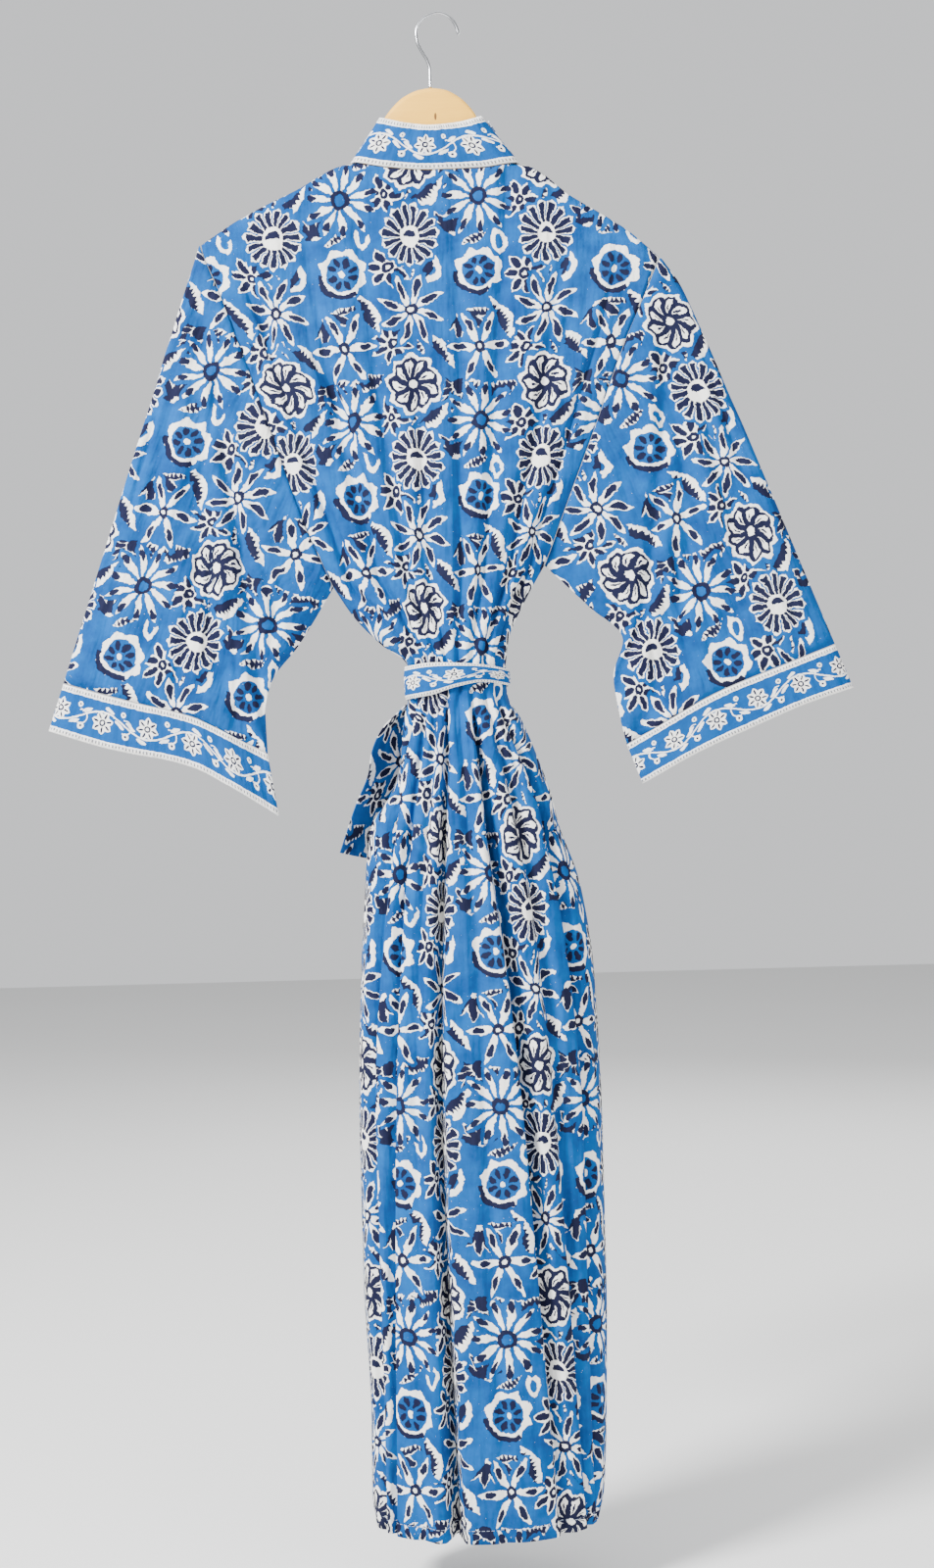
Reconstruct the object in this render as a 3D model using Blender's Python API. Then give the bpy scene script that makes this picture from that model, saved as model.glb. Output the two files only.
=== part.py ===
"""Kimono robe on a wooden hanger, as separate solids.

Metres, +Z up. The origin is the inside top of the hanger's hook, where a rail or a wall hook
carries it. The garment's back faces -Y, its fronts face +Y, and the wearer's left is at -X.
Tables are in millimetres. A station runs down the body: 0 is the shoulder line, 2 the underarm,
3 the belt, 4 the hip and 6 the hem.
"""
import math
from collections import namedtuple

import bmesh
import bpy
import numpy as np

MM = 0.001
CLOTH = 1.2
BAND_CLOTH = 1.6
SEAM_GAP = 0.4
LAYER_GAP = 0.5

BLUE = (0.02, 0.21, 0.66)
BORDER_BLUE = (0.05, 0.28, 0.62)
PALE_WOOD = (0.72, 0.52, 0.30)
STEEL = (0.62, 0.63, 0.65)

# The shoulder line and the back neck, left tip to right tip.
TopPoint = namedtuple("TopPoint", "x z y")
SHOULDER_LINE = [
    TopPoint(-228, -211, 0.0),
    TopPoint(-190, -187, 0.0),
    TopPoint(-140, -163, 0.0),
    TopPoint(-86, -139, 0.0),
    TopPoint(-80, -140, -6.0),
    TopPoint(-69, -143, -10.5),
    TopPoint(-47, -147, -12.0),
    TopPoint(-10, -150, -13.0),
    TopPoint(36, -149, -12.0),
    TopPoint(57, -146, -10.5),
    TopPoint(67, -144, -6.0),
    TopPoint(73, -143, 0.0),
    TopPoint(122, -175, 0.0),
    TopPoint(172, -207, 0.0),
    TopPoint(201, -233, 0.0),
]
NECK_LEFT = -86.0
NECK_RIGHT = 73.0

# The body above the underarm: the armhole edges and how far the cloth stands off the hanger.
Yoke = namedtuple("Yoke", "station left right edge_depth centre_depth fall")
YOKE = [
    Yoke(0.00, -228, 201, 0.0, 0.0, 0.0),
    Yoke(0.014, -227, 200, 6.0, 6.0, 0.7),
    Yoke(0.05, -226, 198, 8.2, 8.6, 1.0),
    Yoke(0.24, -214, 187, 9.0, 11.0, 1.0),
    Yoke(0.50, -199, 170, 10.5, 14.0, 1.0),
    Yoke(0.80, -182, 153, 12.0, 17.0, 1.0),
    Yoke(1.10, -166, 137, 12.5, 19.5, 1.0),
    Yoke(1.40, -150, 120, 12.0, 22.0, 1.0),
    Yoke(1.70, -133, 103, 9.5, 24.0, 1.0),
    Yoke(1.90, -119, 92, 6.0, 25.4, 1.0),
    Yoke(2.00, -112, 86, 0.0, 26.0, 1.0),
]
UNDERARM_LEFT_Z = -536.0
UNDERARM_RIGHT_Z = -520.0

# The closed body below the underarm: height, side seams, and depth behind and in front.
Level = namedtuple("Level", "station z left right back front tilt")
BODY = [
    Level(2.00, -528, -112, 86, 26, 26, 8.0),
    Level(2.35, -560, -93, 66, 28, 28, 5.0),
    Level(2.65, -590, -67, 51, 30, 30, 2.0),
    Level(2.85, -609, -45, 48, 30, 30, 0.5),
    Level(3.00, -625, -44, 47, 30, 30, 0.0),
    Level(3.15, -643, -45, 49, 31, 31, 0.0),
    Level(3.35, -662, -50, 60, 37, 36, 0.0),
    Level(3.65, -705, -54, 77, 46, 44, 0.0),
    Level(3.85, -735, -66, 87, 52, 50, 0.0),
    Level(4.00, -762, -84, 93, 57, 55, 0.0),
    Level(4.30, -820, -90, 112, 64, 60, 0.0),
    Level(4.60, -905, -96, 123, 70, 66, 0.0),
    Level(5.00, -1050, -101, 127, 75, 70, 0.0),
    Level(5.35, -1180, -101, 127, 76, 72, 0.0),
    Level(5.70, -1310, -97, 124, 74, 70, 0.0),
    Level(5.90, -1385, -98, 120, 71, 67, 0.0),
    Level(6.00, -1412, -95, 114, 68, 64, 0.0),
]
ROWS = [row.station for row in YOKE] + [row.station for row in BODY[1:]]

# The stations at which the fold tables give a fold's place and depth.
FOLD_STATIONS = (0.0, 1.0, 2.0, 3.0, 4.0, 5.0, 6.0)
Fold = namedtuple("Fold", "name places depths width lean")
LEAN_DEPTH = 20.0
STEEPEST = 2.6
FOLD_ROOM = 0.34
BACK_FOLDS = [
    Fold("left side", (-196, -150, -96, -37, -62, -88, -86), (0, 4, 6, 3, 7, 6, 5), 12, 0),
    Fold("left blade", (-138, -110, -68, -27, -48, -71, -77), (0, 6, 8, 3, 9, 11, 12), 13, 2),
    Fold("left middle", (-84, -66, -42, -17, -30, -48, -50), (0, 4, 7, 3, 6, 4, 3), 12, 0),
    Fold("main groove", (-36, -28, -19, -8, -14, -25, -19), (0, 3, 6, 3, 24, 36, 40), 13, -5),
    Fold("middle", (12, 12, 7, 3, 8, 19, 28), (0, 4, 6, 3, 6, 4, 3), 12, 0),
    Fold("second groove", (62, 48, 30, 15, 31, 62, 82), (0, 5, 8, 3, 22, 20, 7), 13, -5),
    Fold("right blade", (120, 90, 55, 27, 58, 88, 104), (0, 6, 8, 3, 10, 9, 6), 12, -2),
    Fold("right side", (172, 122, 73, 38, 81, 111, 112), (0, 4, 6, 3, 11, 8, 5), 9, 0),
]
LEFT_FRONT_FOLDS = [
    Fold("left side", (-196, -150, -92, -35, -60, -78, -76), (0, 4, 6, 2, 9, 14, 15), 12, 2),
    Fold("left breast", (-158, -112, -66, -24, -36, -46, -44), (0, 5, 6, 2, 11, 18, 20), 13, 3),
    Fold("wrap", (-116, -78, -42, -13, -12, -10, -6), (0, 4, 5, 2, 8, 13, 12), 13, 3),
]
RIGHT_FRONT_FOLDS = [
    Fold("wrap", (100, 66, 30, 8, 10, 10, 12), (0, 3, 3, 2, 3, 4, 4), 12, 0),
    Fold("right breast", (138, 96, 50, 20, 44, 58, 60), (0, 5, 5, 2, 4, 6, 6), 12, 0),
    Fold("right side", (176, 124, 68, 34, 74, 102, 98), (0, 4, 6, 2, 9, 12, 12), 11, -2),
]

# The seams where the band is sewn to the front edges, and how far the band reaches past them.
Edge = namedtuple("Edge", "station left right reach lift inset")
FRONT_EDGE = [
    Edge(0.00, -86, 73, 28, 42, 0.0),
    Edge(0.014, -86, 73, 28.5, 41, 0.0),
    Edge(0.05, -84, 71, 30, 38, 0.5),
    Edge(0.24, -76, 62, 38, 24, 3.0),
    Edge(0.50, -66, 52, 42, 14, 5.0),
    Edge(1.10, -42, 30, 43, 5, 6.0),
    Edge(2.00, -12, 2, 36, 0, 6.0),
    Edge(2.65, 2, -6, 26, 0, 6.0),
    Edge(3.00, 5, -8, 22, 0, 6.0),
    Edge(3.35, 8, -10, 26, 0, 8.0),
    Edge(4.00, 24, -24, 38, 0, 17.0),
    Edge(5.00, 30, -35, 43, 0, 26.0),
    Edge(6.00, 30, -35, 43, 0, 27.0),
]
INSET_REACH = 0.42

# The collar at the back of the neck: its seam and its upper edge, shoulder to shoulder.
CollarPoint = namedtuple("CollarPoint", "share x y z top_x top_y top_z")
COLLAR = [
    CollarPoint(0.00, -86, 0.0, -139, -58, 0.0, -97),
    CollarPoint(0.07, -82, -7.0, -140, -57, -7.5, -98),
    CollarPoint(0.16, -70, -11.0, -143, -50, -11.0, -100.5),
    CollarPoint(0.32, -47, -12.5, -147, -33, -13.0, -105),
    CollarPoint(0.52, -10, -13.5, -150, -10, -14.0, -108),
    CollarPoint(0.70, 36, -12.5, -149, 14, -13.0, -106),
    CollarPoint(0.85, 58, -11.0, -146, 30, -11.0, -102),
    CollarPoint(0.94, 69.5, -7.0, -144, 37, -7.5, -99),
    CollarPoint(1.00, 73, 0.0, -143, 39, 0.0, -97.5),
]
COLLAR_STEPS = 18
COLLAR_BOW = 2.5
BAND_COLUMNS = 3

# Each sleeve: its outer edge, its underarm edge, the border's seam and the cuff's edge.
Sleeve = namedtuple("Sleeve", "outer inner seam cuff")
SLEEVES = {
    "left": Sleeve(
        outer=[(-228, -211), (-238, -240), (-253, -283), (-368, -619)],
        inner=[(-112, -536), (-146, -589), (-173, -624), (-179, -652), (-178, -690)],
        seam=[(-368, -619), (-308, -637), (-246, -654), (-205, -675), (-178, -690)],
        cuff=[(-383, -663), (-320, -683), (-254, -698), (-212, -720), (-169, -748)],
    ),
    "right": Sleeve(
        outer=[(201, -233), (217, -256), (230, -284), (357, -601)],
        inner=[(86, -520), (126, -559), (158, -592), (148, -626), (153, -662), (159, -690)],
        seam=[(357, -601), (303, -621), (243, -644), (191, -672), (159, -690)],
        cuff=[(373, -642), (328, -656), (276, -677), (225, -699), (173, -727)],
    ),
}
SLEEVE_ROWS = 9
SLEEVE_COLUMNS = 12
SLEEVE_DEPTH = 15.0
TIP_GAP = 1.6
TIP_SHARE = 0.08
FOLD_EDGE = 2.2
CUFF_DEPTH = 16.0
SleeveFold = namedtuple("SleeveFold", "start end width depth")
SLEEVE_FOLDS = [
    SleeveFold(0.02, 0.94, 0.10, 6.0),
    SleeveFold(0.30, 1.25, 0.09, 4.0),
    SleeveFold(-0.30, 0.55, 0.08, 3.0),
]

# The belt: its top and bottom edge behind, left to right, and in front.
BeltPoint = namedtuple("BeltPoint", "across top bottom")
BELT_BACK = [
    BeltPoint(-1.0, -612, -643),
    BeltPoint(-0.5, -610, -640),
    BeltPoint(0.0, -611, -633),
    BeltPoint(0.5, -613, -629),
    BeltPoint(1.0, -617, -632),
]
BELT_FRONT_TOP = -610.0
BELT_FRONT_BOTTOM = -640.0
BELT_STEPS = 40
BELT_CLEAR = 2.4

# The knot and the two ends that hang below it.
KNOT_SIZE = (40.0, 20.0, 34.0)
KNOT_CENTRE = (4.0, -626.0)
TailRow = namedtuple("TailRow", "z x width y")
BELT_TAILS = [
    [
        TailRow(-643.4, -4, 14, 42),
        TailRow(-656, -6, 20, 46),
        TailRow(-700, -14, 32, 60),
        TailRow(-780, -20, 38, 73),
        TailRow(-880, -22, 42, 81),
        TailRow(-985, -24, 44, 84),
    ],
    [
        TailRow(-643.0, 11.5, 14, 42),
        TailRow(-656, 18, 20, 46),
        TailRow(-700, 34, 32, 60),
        TailRow(-780, 38, 38, 73),
        TailRow(-900, 40, 42, 81),
        TailRow(-1040, 40, 44, 84),
    ],
]
TAIL_COLUMNS = 3

# The pocket bag that hangs out below the belt: outer edge and inner edge at each height, and how
# far each row has left the body's side, where the bag is sewn.
PocketRow = namedtuple("PocketRow", "z outer_x outer_y inner_x inner_y drop free")
POCKET = [
    PocketRow(-647, -50, 4, -40, 28, 1, 0.0),
    PocketRow(-654, -60, 7, -41, 35, 2, 0.4),
    PocketRow(-669, -73, 9, -42, 41, 3, 0.85),
    PocketRow(-690, -81, 11, -46, 48, 5, 1.0),
    PocketRow(-711, -85, 14, -50, 54, 7, 1.0),
    PocketRow(-741, -98, 15, -58, 59, 9, 1.0),
    PocketRow(-785, -114, 17, -68, 63, 12, 1.0),
]
POCKET_SEAT = (-0.99, -0.62)
POCKET_CLOTH = 2.0
POCKET_RISE = 6.0
POCKET_COLUMNS = 6
POCKET_BOW = 4.0

# The wooden hanger: upper and lower edge, left end to right end.
HangerPoint = namedtuple("HangerPoint", "x top bottom half")
HANGER = [
    HangerPoint(-223, -216.0, -223, 3.0),
    HangerPoint(-219, -209.5, -230, 4.8),
    HangerPoint(-208, -201.2, -231, 5.4),
    HangerPoint(-190, -189.6, -221, 5.5),
    HangerPoint(-140, -165.6, -196, 5.6),
    HangerPoint(-96, -147.4, -176, 5.6),
    HangerPoint(-84, -144.8, -171, 5.6),
    HangerPoint(-79, -143.5, -169, 5.6),
    HangerPoint(-72, -132.0, -167, 5.6),
    HangerPoint(-58, -105.0, -162, 5.6),
    HangerPoint(-48, -90.0, -159, 6.0),
    HangerPoint(-34, -77.0, -156, 6.5),
    HangerPoint(-20, -71.0, -154, 6.5),
    HangerPoint(-9, -69.5, -153, 6.5),
    HangerPoint(3, -71.0, -154, 6.5),
    HangerPoint(17, -78.0, -156, 6.5),
    HangerPoint(29, -90.0, -159, 6.0),
    HangerPoint(38, -105.0, -163, 5.6),
    HangerPoint(50, -124.0, -167, 5.6),
    HangerPoint(61, -143.0, -171, 5.6),
    HangerPoint(67, -148.0, -174, 5.6),
    HangerPoint(84, -154.4, -180, 5.6),
    HangerPoint(122, -178.0, -205, 5.6),
    HangerPoint(172, -210.6, -237, 5.4),
    HangerPoint(185, -221.5, -247, 5.2),
    HangerPoint(194, -231.5, -249, 4.6),
    HangerPoint(197, -238.5, -245, 3.0),
]
HANGER_SIDES = 12

# The wire hook, from the wood up and round to its tip.
WIRE_RADIUS = 1.6
HOOK_PATH = [
    (-9, -69.1), (-9, -60), (-9, -52), (-11, -44), (-16, -35), (-20, -26), (-21, -17),
    (-18, -8), (-10, -1), (0, 1.6), (8, -1), (14, -7), (17.5, -14), (19, -21),
]
HOOK_STEPS = 34


def smooth(stations, values, at):
    """A value read from a table at one station, on a smooth curve through its rows."""
    stations = np.asarray(stations, float)
    values = np.asarray(values, float)
    last = len(stations) - 2
    k = int(np.clip(np.searchsorted(stations, at, side="right") - 1, 0, last))
    span = stations[k + 1] - stations[k]
    f = float(np.clip((at - stations[k]) / span, 0.0, 1.0))
    here = (values[k + 1] - values[k]) / span
    before = (values[k] - values[k - 1]) / (stations[k] - stations[k - 1]) if k > 0 else here
    after = (values[k + 2] - values[k + 1]) / (stations[k + 2] - stations[k + 1]) if k < last else here
    start = 0.0 if before * here <= 0 else 2 * before * here / (before + here)
    end = 0.0 if here * after <= 0 else 2 * here * after / (here + after)
    f2, f3 = f * f, f * f * f
    return (values[k] * (2 * f3 - 3 * f2 + 1) + start * span * (f3 - 2 * f2 + f)
            + values[k + 1] * (3 * f2 - 2 * f3) + end * span * (f3 - f2))


def read(table, column, station):
    """One column of a table of rows at a station."""
    return smooth([row.station for row in table], [getattr(row, column) for row in table], station)


def along(points, fraction):
    """The point at a fraction of a polyline's length."""
    points = np.asarray(points, float)
    steps = np.linalg.norm(np.diff(points, axis=0), axis=1)
    length = np.concatenate([[0.0], np.cumsum(steps)])
    at = fraction * length[-1]
    return np.array([smooth(length, points[:, axis], at) for axis in range(points.shape[1])])


def shoulder(x):
    """Height and depth of the shoulder line and back neck at x."""
    xs = [point.x for point in SHOULDER_LINE]
    return (smooth(xs, [point.z for point in SHOULDER_LINE], x),
            smooth(xs, [point.y for point in SHOULDER_LINE], x))


def sides(station):
    """The left and right edge of the body at a station."""
    table = YOKE if station <= 2 else BODY
    return read(table, "left", station), read(table, "right", station)


def body_point(station, u, front):
    """A point of the smooth body, without folds. u runs from -1 at the left to 1 at the right."""
    left, right = sides(station)
    x = 0.5 * (left + right) + 0.5 * (right - left) * u
    face = 1.0 if front else -1.0
    arch = math.sqrt(max(0.0, 1.0 - u * u))
    if station <= 2:
        top_left, top_right = sides(0.0)
        top_z, top_y = shoulder(0.5 * (top_left + top_right) + 0.5 * (top_right - top_left) * u)
        under = 0.5 * (UNDERARM_LEFT_Z + UNDERARM_RIGHT_Z)
        under += 0.5 * (UNDERARM_RIGHT_Z - UNDERARM_LEFT_Z) * u
        z = top_z + (under - top_z) * station / 2
        edge = read(YOKE, "edge_depth", station)
        depth = edge + (read(YOKE, "centre_depth", station) - edge) * arch
        fall = read(YOKE, "fall", station)
        y = depth if front else abs(top_y) * (1 - fall) + max(depth, abs(top_y) * fall)
    else:
        z = read(BODY, "z", station) + read(BODY, "tilt", station) * u
        y = read(BODY, "front" if front else "back", station) * arch
    return np.array([x, face * max(y, 0.5 * SEAM_GAP), z])


def inward(station, u, front):
    """The direction that a fold sinks in: straight in on the yoke, towards the axis lower down."""
    face = 1.0 if front else -1.0
    left, right = sides(station)
    half = 0.5 * (right - left)
    depth = read(BODY, "front" if front else "back", station) if station > 2 else 26.0
    arch = math.sqrt(max(0.0, 1.0 - u * u))
    round_way = np.array([-u / half, -face * arch / depth, 0.0])
    round_way /= np.linalg.norm(round_way)
    straight = np.array([0.0, -face, 0.0])
    share = float(np.clip((station - 1.4) / 0.8, 0.0, 1.0))
    way = straight * (1 - share) + round_way * share
    return way / np.linalg.norm(way)


def fold_columns(folds, station, start_u, end_u):
    """Columns across a panel: each fold's two shoulders, walls and bottom, and the crests between.

    Returns rows of (u, depth, lean), all in the order from start_u to end_u.
    """
    left, right = sides(station)
    middle = 0.5 * (left + right)
    half = 0.5 * (right - left)
    centres = [(smooth(FOLD_STATIONS, fold.places, station) - middle) / half for fold in folds]
    low, high = min(start_u, end_u), max(start_u, end_u)
    stops = [low] + centres + [high]
    columns = [(low, 0.0, 0.0)]
    for index, fold in enumerate(folds):
        centre = centres[index]
        room = min(centre - stops[index], stops[index + 2] - centre)
        steep = math.sqrt(max(0.12, 1.0 - centre * centre))
        reach = min(fold.width * steep / half, FOLD_ROOM * room)
        depth = min(smooth(FOLD_STATIONS, fold.depths, station), STEEPEST * reach * half)
        lean = fold.lean * min(1.0, depth / LEAN_DEPTH) * min(1.0, reach * half / fold.width)
        before = columns[-1][0]
        columns.append((0.5 * (before + centre - reach), -0.08 * depth, 0.0))
        for offset, share in ((-1.0, 0.0), (-0.5, 0.5), (0.0, 1.0), (0.5, 0.5), (1.0, 0.0)):
            columns.append((centre + offset * reach, share * depth, share * lean))
    columns.append((0.5 * (columns[-1][0] + high), 0.0, 0.0))
    columns.append((high, 0.0, 0.0))
    return columns if start_u < end_u else columns[::-1]


def folded(station, column, front, inset=0.0):
    """A point of the body at a column, sunk by its fold and by an inner layer's inset."""
    u, depth, lean = column
    point = body_point(station, u, front)
    way = inward(station, u, front)
    rise = float(np.clip(station / 0.24, 0.0, 1.0))
    aside = np.array([-way[1], way[0], 0.0]) * lean * (1.0 if front else -1.0)
    return point + way * (depth * rise + inset) + aside * rise


def back_panel():
    return [[folded(station, column, False) for column in fold_columns(BACK_FOLDS, station, -1, 1)]
            for station in ROWS]


def edge_u(station, side, extra=0.0):
    """Where a front panel ends, as u, moved on by extra millimetres."""
    left, right = sides(station)
    x = read(FRONT_EDGE, side, station) + (extra if side == "left" else -extra)
    return (x - 0.5 * (left + right)) / (0.5 * (right - left))


def front_inset(station, u, side):
    """How far the under layer of the wrap lies inside the upper one."""
    if side == "left":
        return 0.0
    share = float(np.clip((1.0 - u) / (1.0 - edge_u(station, side)) / INSET_REACH, 0.0, 1.0))
    return read(FRONT_EDGE, "inset", station) * share * share * (3 - 2 * share)


def front_panel(side):
    """One front: from its side seam or armhole to the seam of the band."""
    folds = LEFT_FRONT_FOLDS if side == "left" else RIGHT_FRONT_FOLDS
    rows = []
    for station in ROWS:
        seam = edge_u(station, side)
        start = -1.0 if side == "left" else 1.0
        columns = fold_columns(folds, station, start, seam)
        rows.append([folded(station, column, True, front_inset(station, column[0], side))
                     for column in columns])
    return rows


def front_band(side):
    """The border band along a front edge, from the shoulder to the hem."""
    rows = []
    for station in ROWS:
        reach = read(FRONT_EDGE, "reach", station)
        lift = read(FRONT_EDGE, "lift", station)
        row = []
        for step in range(BAND_COLUMNS + 1):
            share = step / BAND_COLUMNS
            u = edge_u(station, side, SEAM_GAP + reach * share)
            u = float(np.clip(u, -0.985, 0.985))
            if station < 2:
                seam_u = edge_u(station, side)
                point = body_point(station, seam_u, True)
                point[0] = point[0] + (SEAM_GAP + reach * share) * (1 if side == "left" else -1)
                point[2] = point[2] + lift * share
                ease = min(1.0, station / 0.5)
                point[1] = max(point[1], SEAM_GAP) + 3.0 * math.sin(math.pi * share) * (1 - ease)
                point[1] -= front_inset(station, edge_u(station, side), side)
            else:
                point = folded(station, (u, 0.0, 0.0), True, front_inset(station, edge_u(station, side), side))
            row.append(point)
        rows.append(row)
    return rows


def collar_back():
    """The band round the back of the neck, from shoulder to shoulder."""
    shares = [point.share for point in COLLAR]

    def column(name, share):
        return smooth(shares, [getattr(point, name) for point in COLLAR], share)

    rows = []
    for height_step in range(BAND_COLUMNS + 1):
        height = 1.0 - height_step / BAND_COLUMNS
        row = []
        for step in range(COLLAR_STEPS + 1):
            share = step / COLLAR_STEPS
            lift = SEAM_GAP + 0.3 + 0.8 * (1 - math.sin(math.pi * share))
            low = np.array([column("x", share), column("y", share), column("z", share) + lift])
            high = np.array([column("top_x", share), column("top_y", share), column("top_z", share)])
            point = low * (1 - height) + high * height
            bow = COLLAR_BOW * math.sin(math.pi * height) * math.sin(math.pi * share)
            point[1] = min(point[1] - bow, -0.5 * SEAM_GAP)
            row.append(point)
        rows.append(row)
    return rows


def armhole(side, share, front):
    """The armhole at a share of the way from the shoulder tip down to the underarm."""
    return body_point(2.0 * share, -1.0 if side == "left" else 1.0, front)


def coons(top, bottom, start, end, across, down):
    """A patch between four edges: top and bottom by across, start and end by down."""
    ruled = (1 - down) * top(across) + down * bottom(across)
    sides_part = (1 - across) * start(down) + across * end(down)
    corners = ((1 - across) * (1 - down) * start(0.0) + across * (1 - down) * end(0.0)
               + (1 - across) * down * start(1.0) + across * down * end(1.0))
    return ruled + sides_part - corners


def sleeve_sink(down, across):
    """How far the long pinched folds of a sleeve sink in."""
    total = 0.0
    for fold in SLEEVE_FOLDS:
        middle = fold.start + (fold.end - fold.start) * down
        distance = abs(across - middle) / fold.width
        if distance < 1.0:
            total += fold.depth * 0.5 * (1 + math.cos(math.pi * distance))
    return total * min(1.0, 4 * down)


def sleeve_ring(side, down, depth):
    """One ring of a sleeve: down the back layer from the outer fold, then up the front layer."""
    table = SLEEVES[side]
    out = -1.0 if side == "left" else 1.0

    def arm_edge(across):
        point = armhole(side, across, False)
        return np.array([point[0], point[2]])

    ring = []
    for step in range(2 * SLEEVE_COLUMNS):
        front = step >= SLEEVE_COLUMNS
        turn = step / SLEEVE_COLUMNS
        share = turn if not front else 2.0 - turn
        across = 0.5 * (1 - math.cos(math.pi * share))
        x, z = coons(arm_edge, lambda t: along(table.seam, t), lambda t: along(table.outer, t),
                     lambda t: along(table.inner, t), across, down)
        arm_y = abs(armhole(side, across, front)[1])
        hang = depth * math.sin(math.pi * share) ** 0.7 if 0 < share < 1 else 0.0
        ease = (1 - down) ** 3
        y = arm_y * ease + hang * (1 - ease)
        y -= sleeve_sink(down, across) * (1.0 if not front else 0.6)
        gap = (SEAM_GAP + TIP_GAP * max(0.0, 1 - across / TIP_SHARE)) * (1 - down)
        if 0 < share < 1:
            y = max(y, FOLD_EDGE)
        ring.append(np.array([x + 0.94 * out * gap, y if front else -y, z - 0.34 * gap]))
    return ring


def sleeve(side):
    return [sleeve_ring(side, (step / SLEEVE_ROWS) * 0.9985, SLEEVE_DEPTH)
            for step in range(SLEEVE_ROWS + 1)]


def cuff_band(side):
    """The border strip round the cuff, from its seam to the open edge."""
    table = SLEEVES[side]
    seam_ring = sleeve_ring(side, 1.0, SLEEVE_DEPTH)
    rows = []
    for down in (0.0, 0.5, 1.0):
        ring = []
        for step, point in enumerate(seam_ring):
            front = step >= SLEEVE_COLUMNS
            turn = step / SLEEVE_COLUMNS
            share = turn if not front else 2.0 - turn
            across = 0.5 * (1 - math.cos(math.pi * share))
            edge = along(table.cuff, across)
            hang = CUFF_DEPTH * math.sin(math.pi * share) ** 0.7 if 0 < share < 1 else 0.0
            hang -= 0.5 * sleeve_sink(1.0, across)
            target = np.array([edge[0], hang if front else -hang, edge[1]])
            way = (target - point) / np.linalg.norm(target - point)
            ring.append(point + (target - point) * down + way * SEAM_GAP * (1 - down))
        rows.append(ring)
    return rows


def belt_ring(share, edge):
    """A point of the belt: share runs once round from the left side, behind first."""
    angle = 2 * math.pi * share
    across = -math.cos(angle)
    behind = math.sin(angle) > 0
    if behind:
        xs = [point.across for point in BELT_BACK]
        z = smooth(xs, [getattr(point, edge) for point in BELT_BACK], across)
    else:
        ends = [getattr(BELT_BACK[0], edge), getattr(BELT_BACK[-1], edge)]
        plain = BELT_FRONT_TOP if edge == "top" else BELT_FRONT_BOTTOM
        side = ends[0] if across < 0 else ends[1]
        z = plain + (side - plain) * abs(across) ** 3
    left, right = sides(3.0)
    middle = 0.5 * (left + right)
    half = 0.5 * (right - left) + BELT_CLEAR + 1.0
    depth = read(BODY, "back" if behind else "front", 3.0) + BELT_CLEAR + 1.5
    return np.array([middle + half * across, -depth * math.sin(angle), z])


def belt_band():
    rows = []
    for edge_share in (0.0, 0.5, 1.0):
        row = []
        for step in range(BELT_STEPS):
            top = belt_ring(step / BELT_STEPS, "top")
            bottom = belt_ring(step / BELT_STEPS, "bottom")
            row.append(top + (bottom - top) * edge_share)
        rows.append(row)
    return rows


def belt_tail(rows_table):
    rows = []
    for row in rows_table:
        line = []
        for step in range(TAIL_COLUMNS + 1):
            across = step / TAIL_COLUMNS - 0.5
            bow = 3.0 * math.cos(math.pi * across)
            line.append(np.array([row.x + row.width * across, row.y + bow, row.z]))
        rows.append(line[::-1])
    return rows


def pocket_left():
    """The pocket bag: sewn to the side of the left front below the belt, free lower down."""
    heights = [-row.z for row in BODY]
    rows = []
    for row in POCKET:
        station = smooth(heights, [level.station for level in BODY], -row.z)
        line = []
        for step in range(POCKET_COLUMNS + 1):
            share = step / POCKET_COLUMNS
            bow = POCKET_BOW * math.sin(math.pi * share)
            x = row.outer_x + (row.inner_x - row.outer_x) * share - 0.7 * bow
            y = row.outer_y + (row.inner_y - row.outer_y) * share + 0.7 * bow
            u = POCKET_SEAT[0] + (POCKET_SEAT[1] - POCKET_SEAT[0]) * share
            clear = POCKET_CLOTH + LAYER_GAP + POCKET_RISE * row.free
            seat = body_point(station, u, True) - inward(station, u, True) * clear
            loose = np.array([x, y, row.z - row.drop * share])
            line.append(seat * (1 - row.free) + loose * row.free)
        rows.append(line[::-1])
    return rows


def material(name, colour, roughness, metallic=0.0):
    found = bpy.data.materials.get(name)
    if found:
        return found
    made = bpy.data.materials.new(name)
    made.use_nodes = True
    shader = made.node_tree.nodes["Principled BSDF"]
    shader.inputs["Base Color"].default_value = (*colour, 1.0)
    shader.inputs["Roughness"].default_value = roughness
    shader.inputs["Metallic"].default_value = metallic
    return made


def add_object(name, points, faces, finish):
    mesh = bpy.data.meshes.new(name)
    mesh.from_pydata([tuple(float(v) * MM for v in point) for point in points], [], faces)
    mesh.validate()
    mesh.materials.append(finish)
    made = bpy.data.objects.new(name, mesh)
    bpy.context.scene.collection.objects.link(made)
    mesh.shade_smooth()
    return made


def wall_normals(grid, closed, seams):
    """Unit normals of a grid of points. At the shoulder and a named seam they lie across Y."""
    down = np.gradient(grid, axis=0)
    if closed:
        across = np.roll(grid, -1, axis=1) - np.roll(grid, 1, axis=1)
    else:
        across = np.gradient(grid, axis=1)
    normals = np.cross(down, across)
    on_shoulder = np.abs(grid[0, :, 1]) < SEAM_GAP
    if not closed:
        normals[0, on_shoulder, 1] = 0.0
    if "first column" in seams:
        normals[:, 0, 1] = 0.0
    if "last column" in seams:
        normals[:, -1, 1] = 0.0
    length = np.linalg.norm(normals, axis=2, keepdims=True)
    return normals / length


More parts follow.
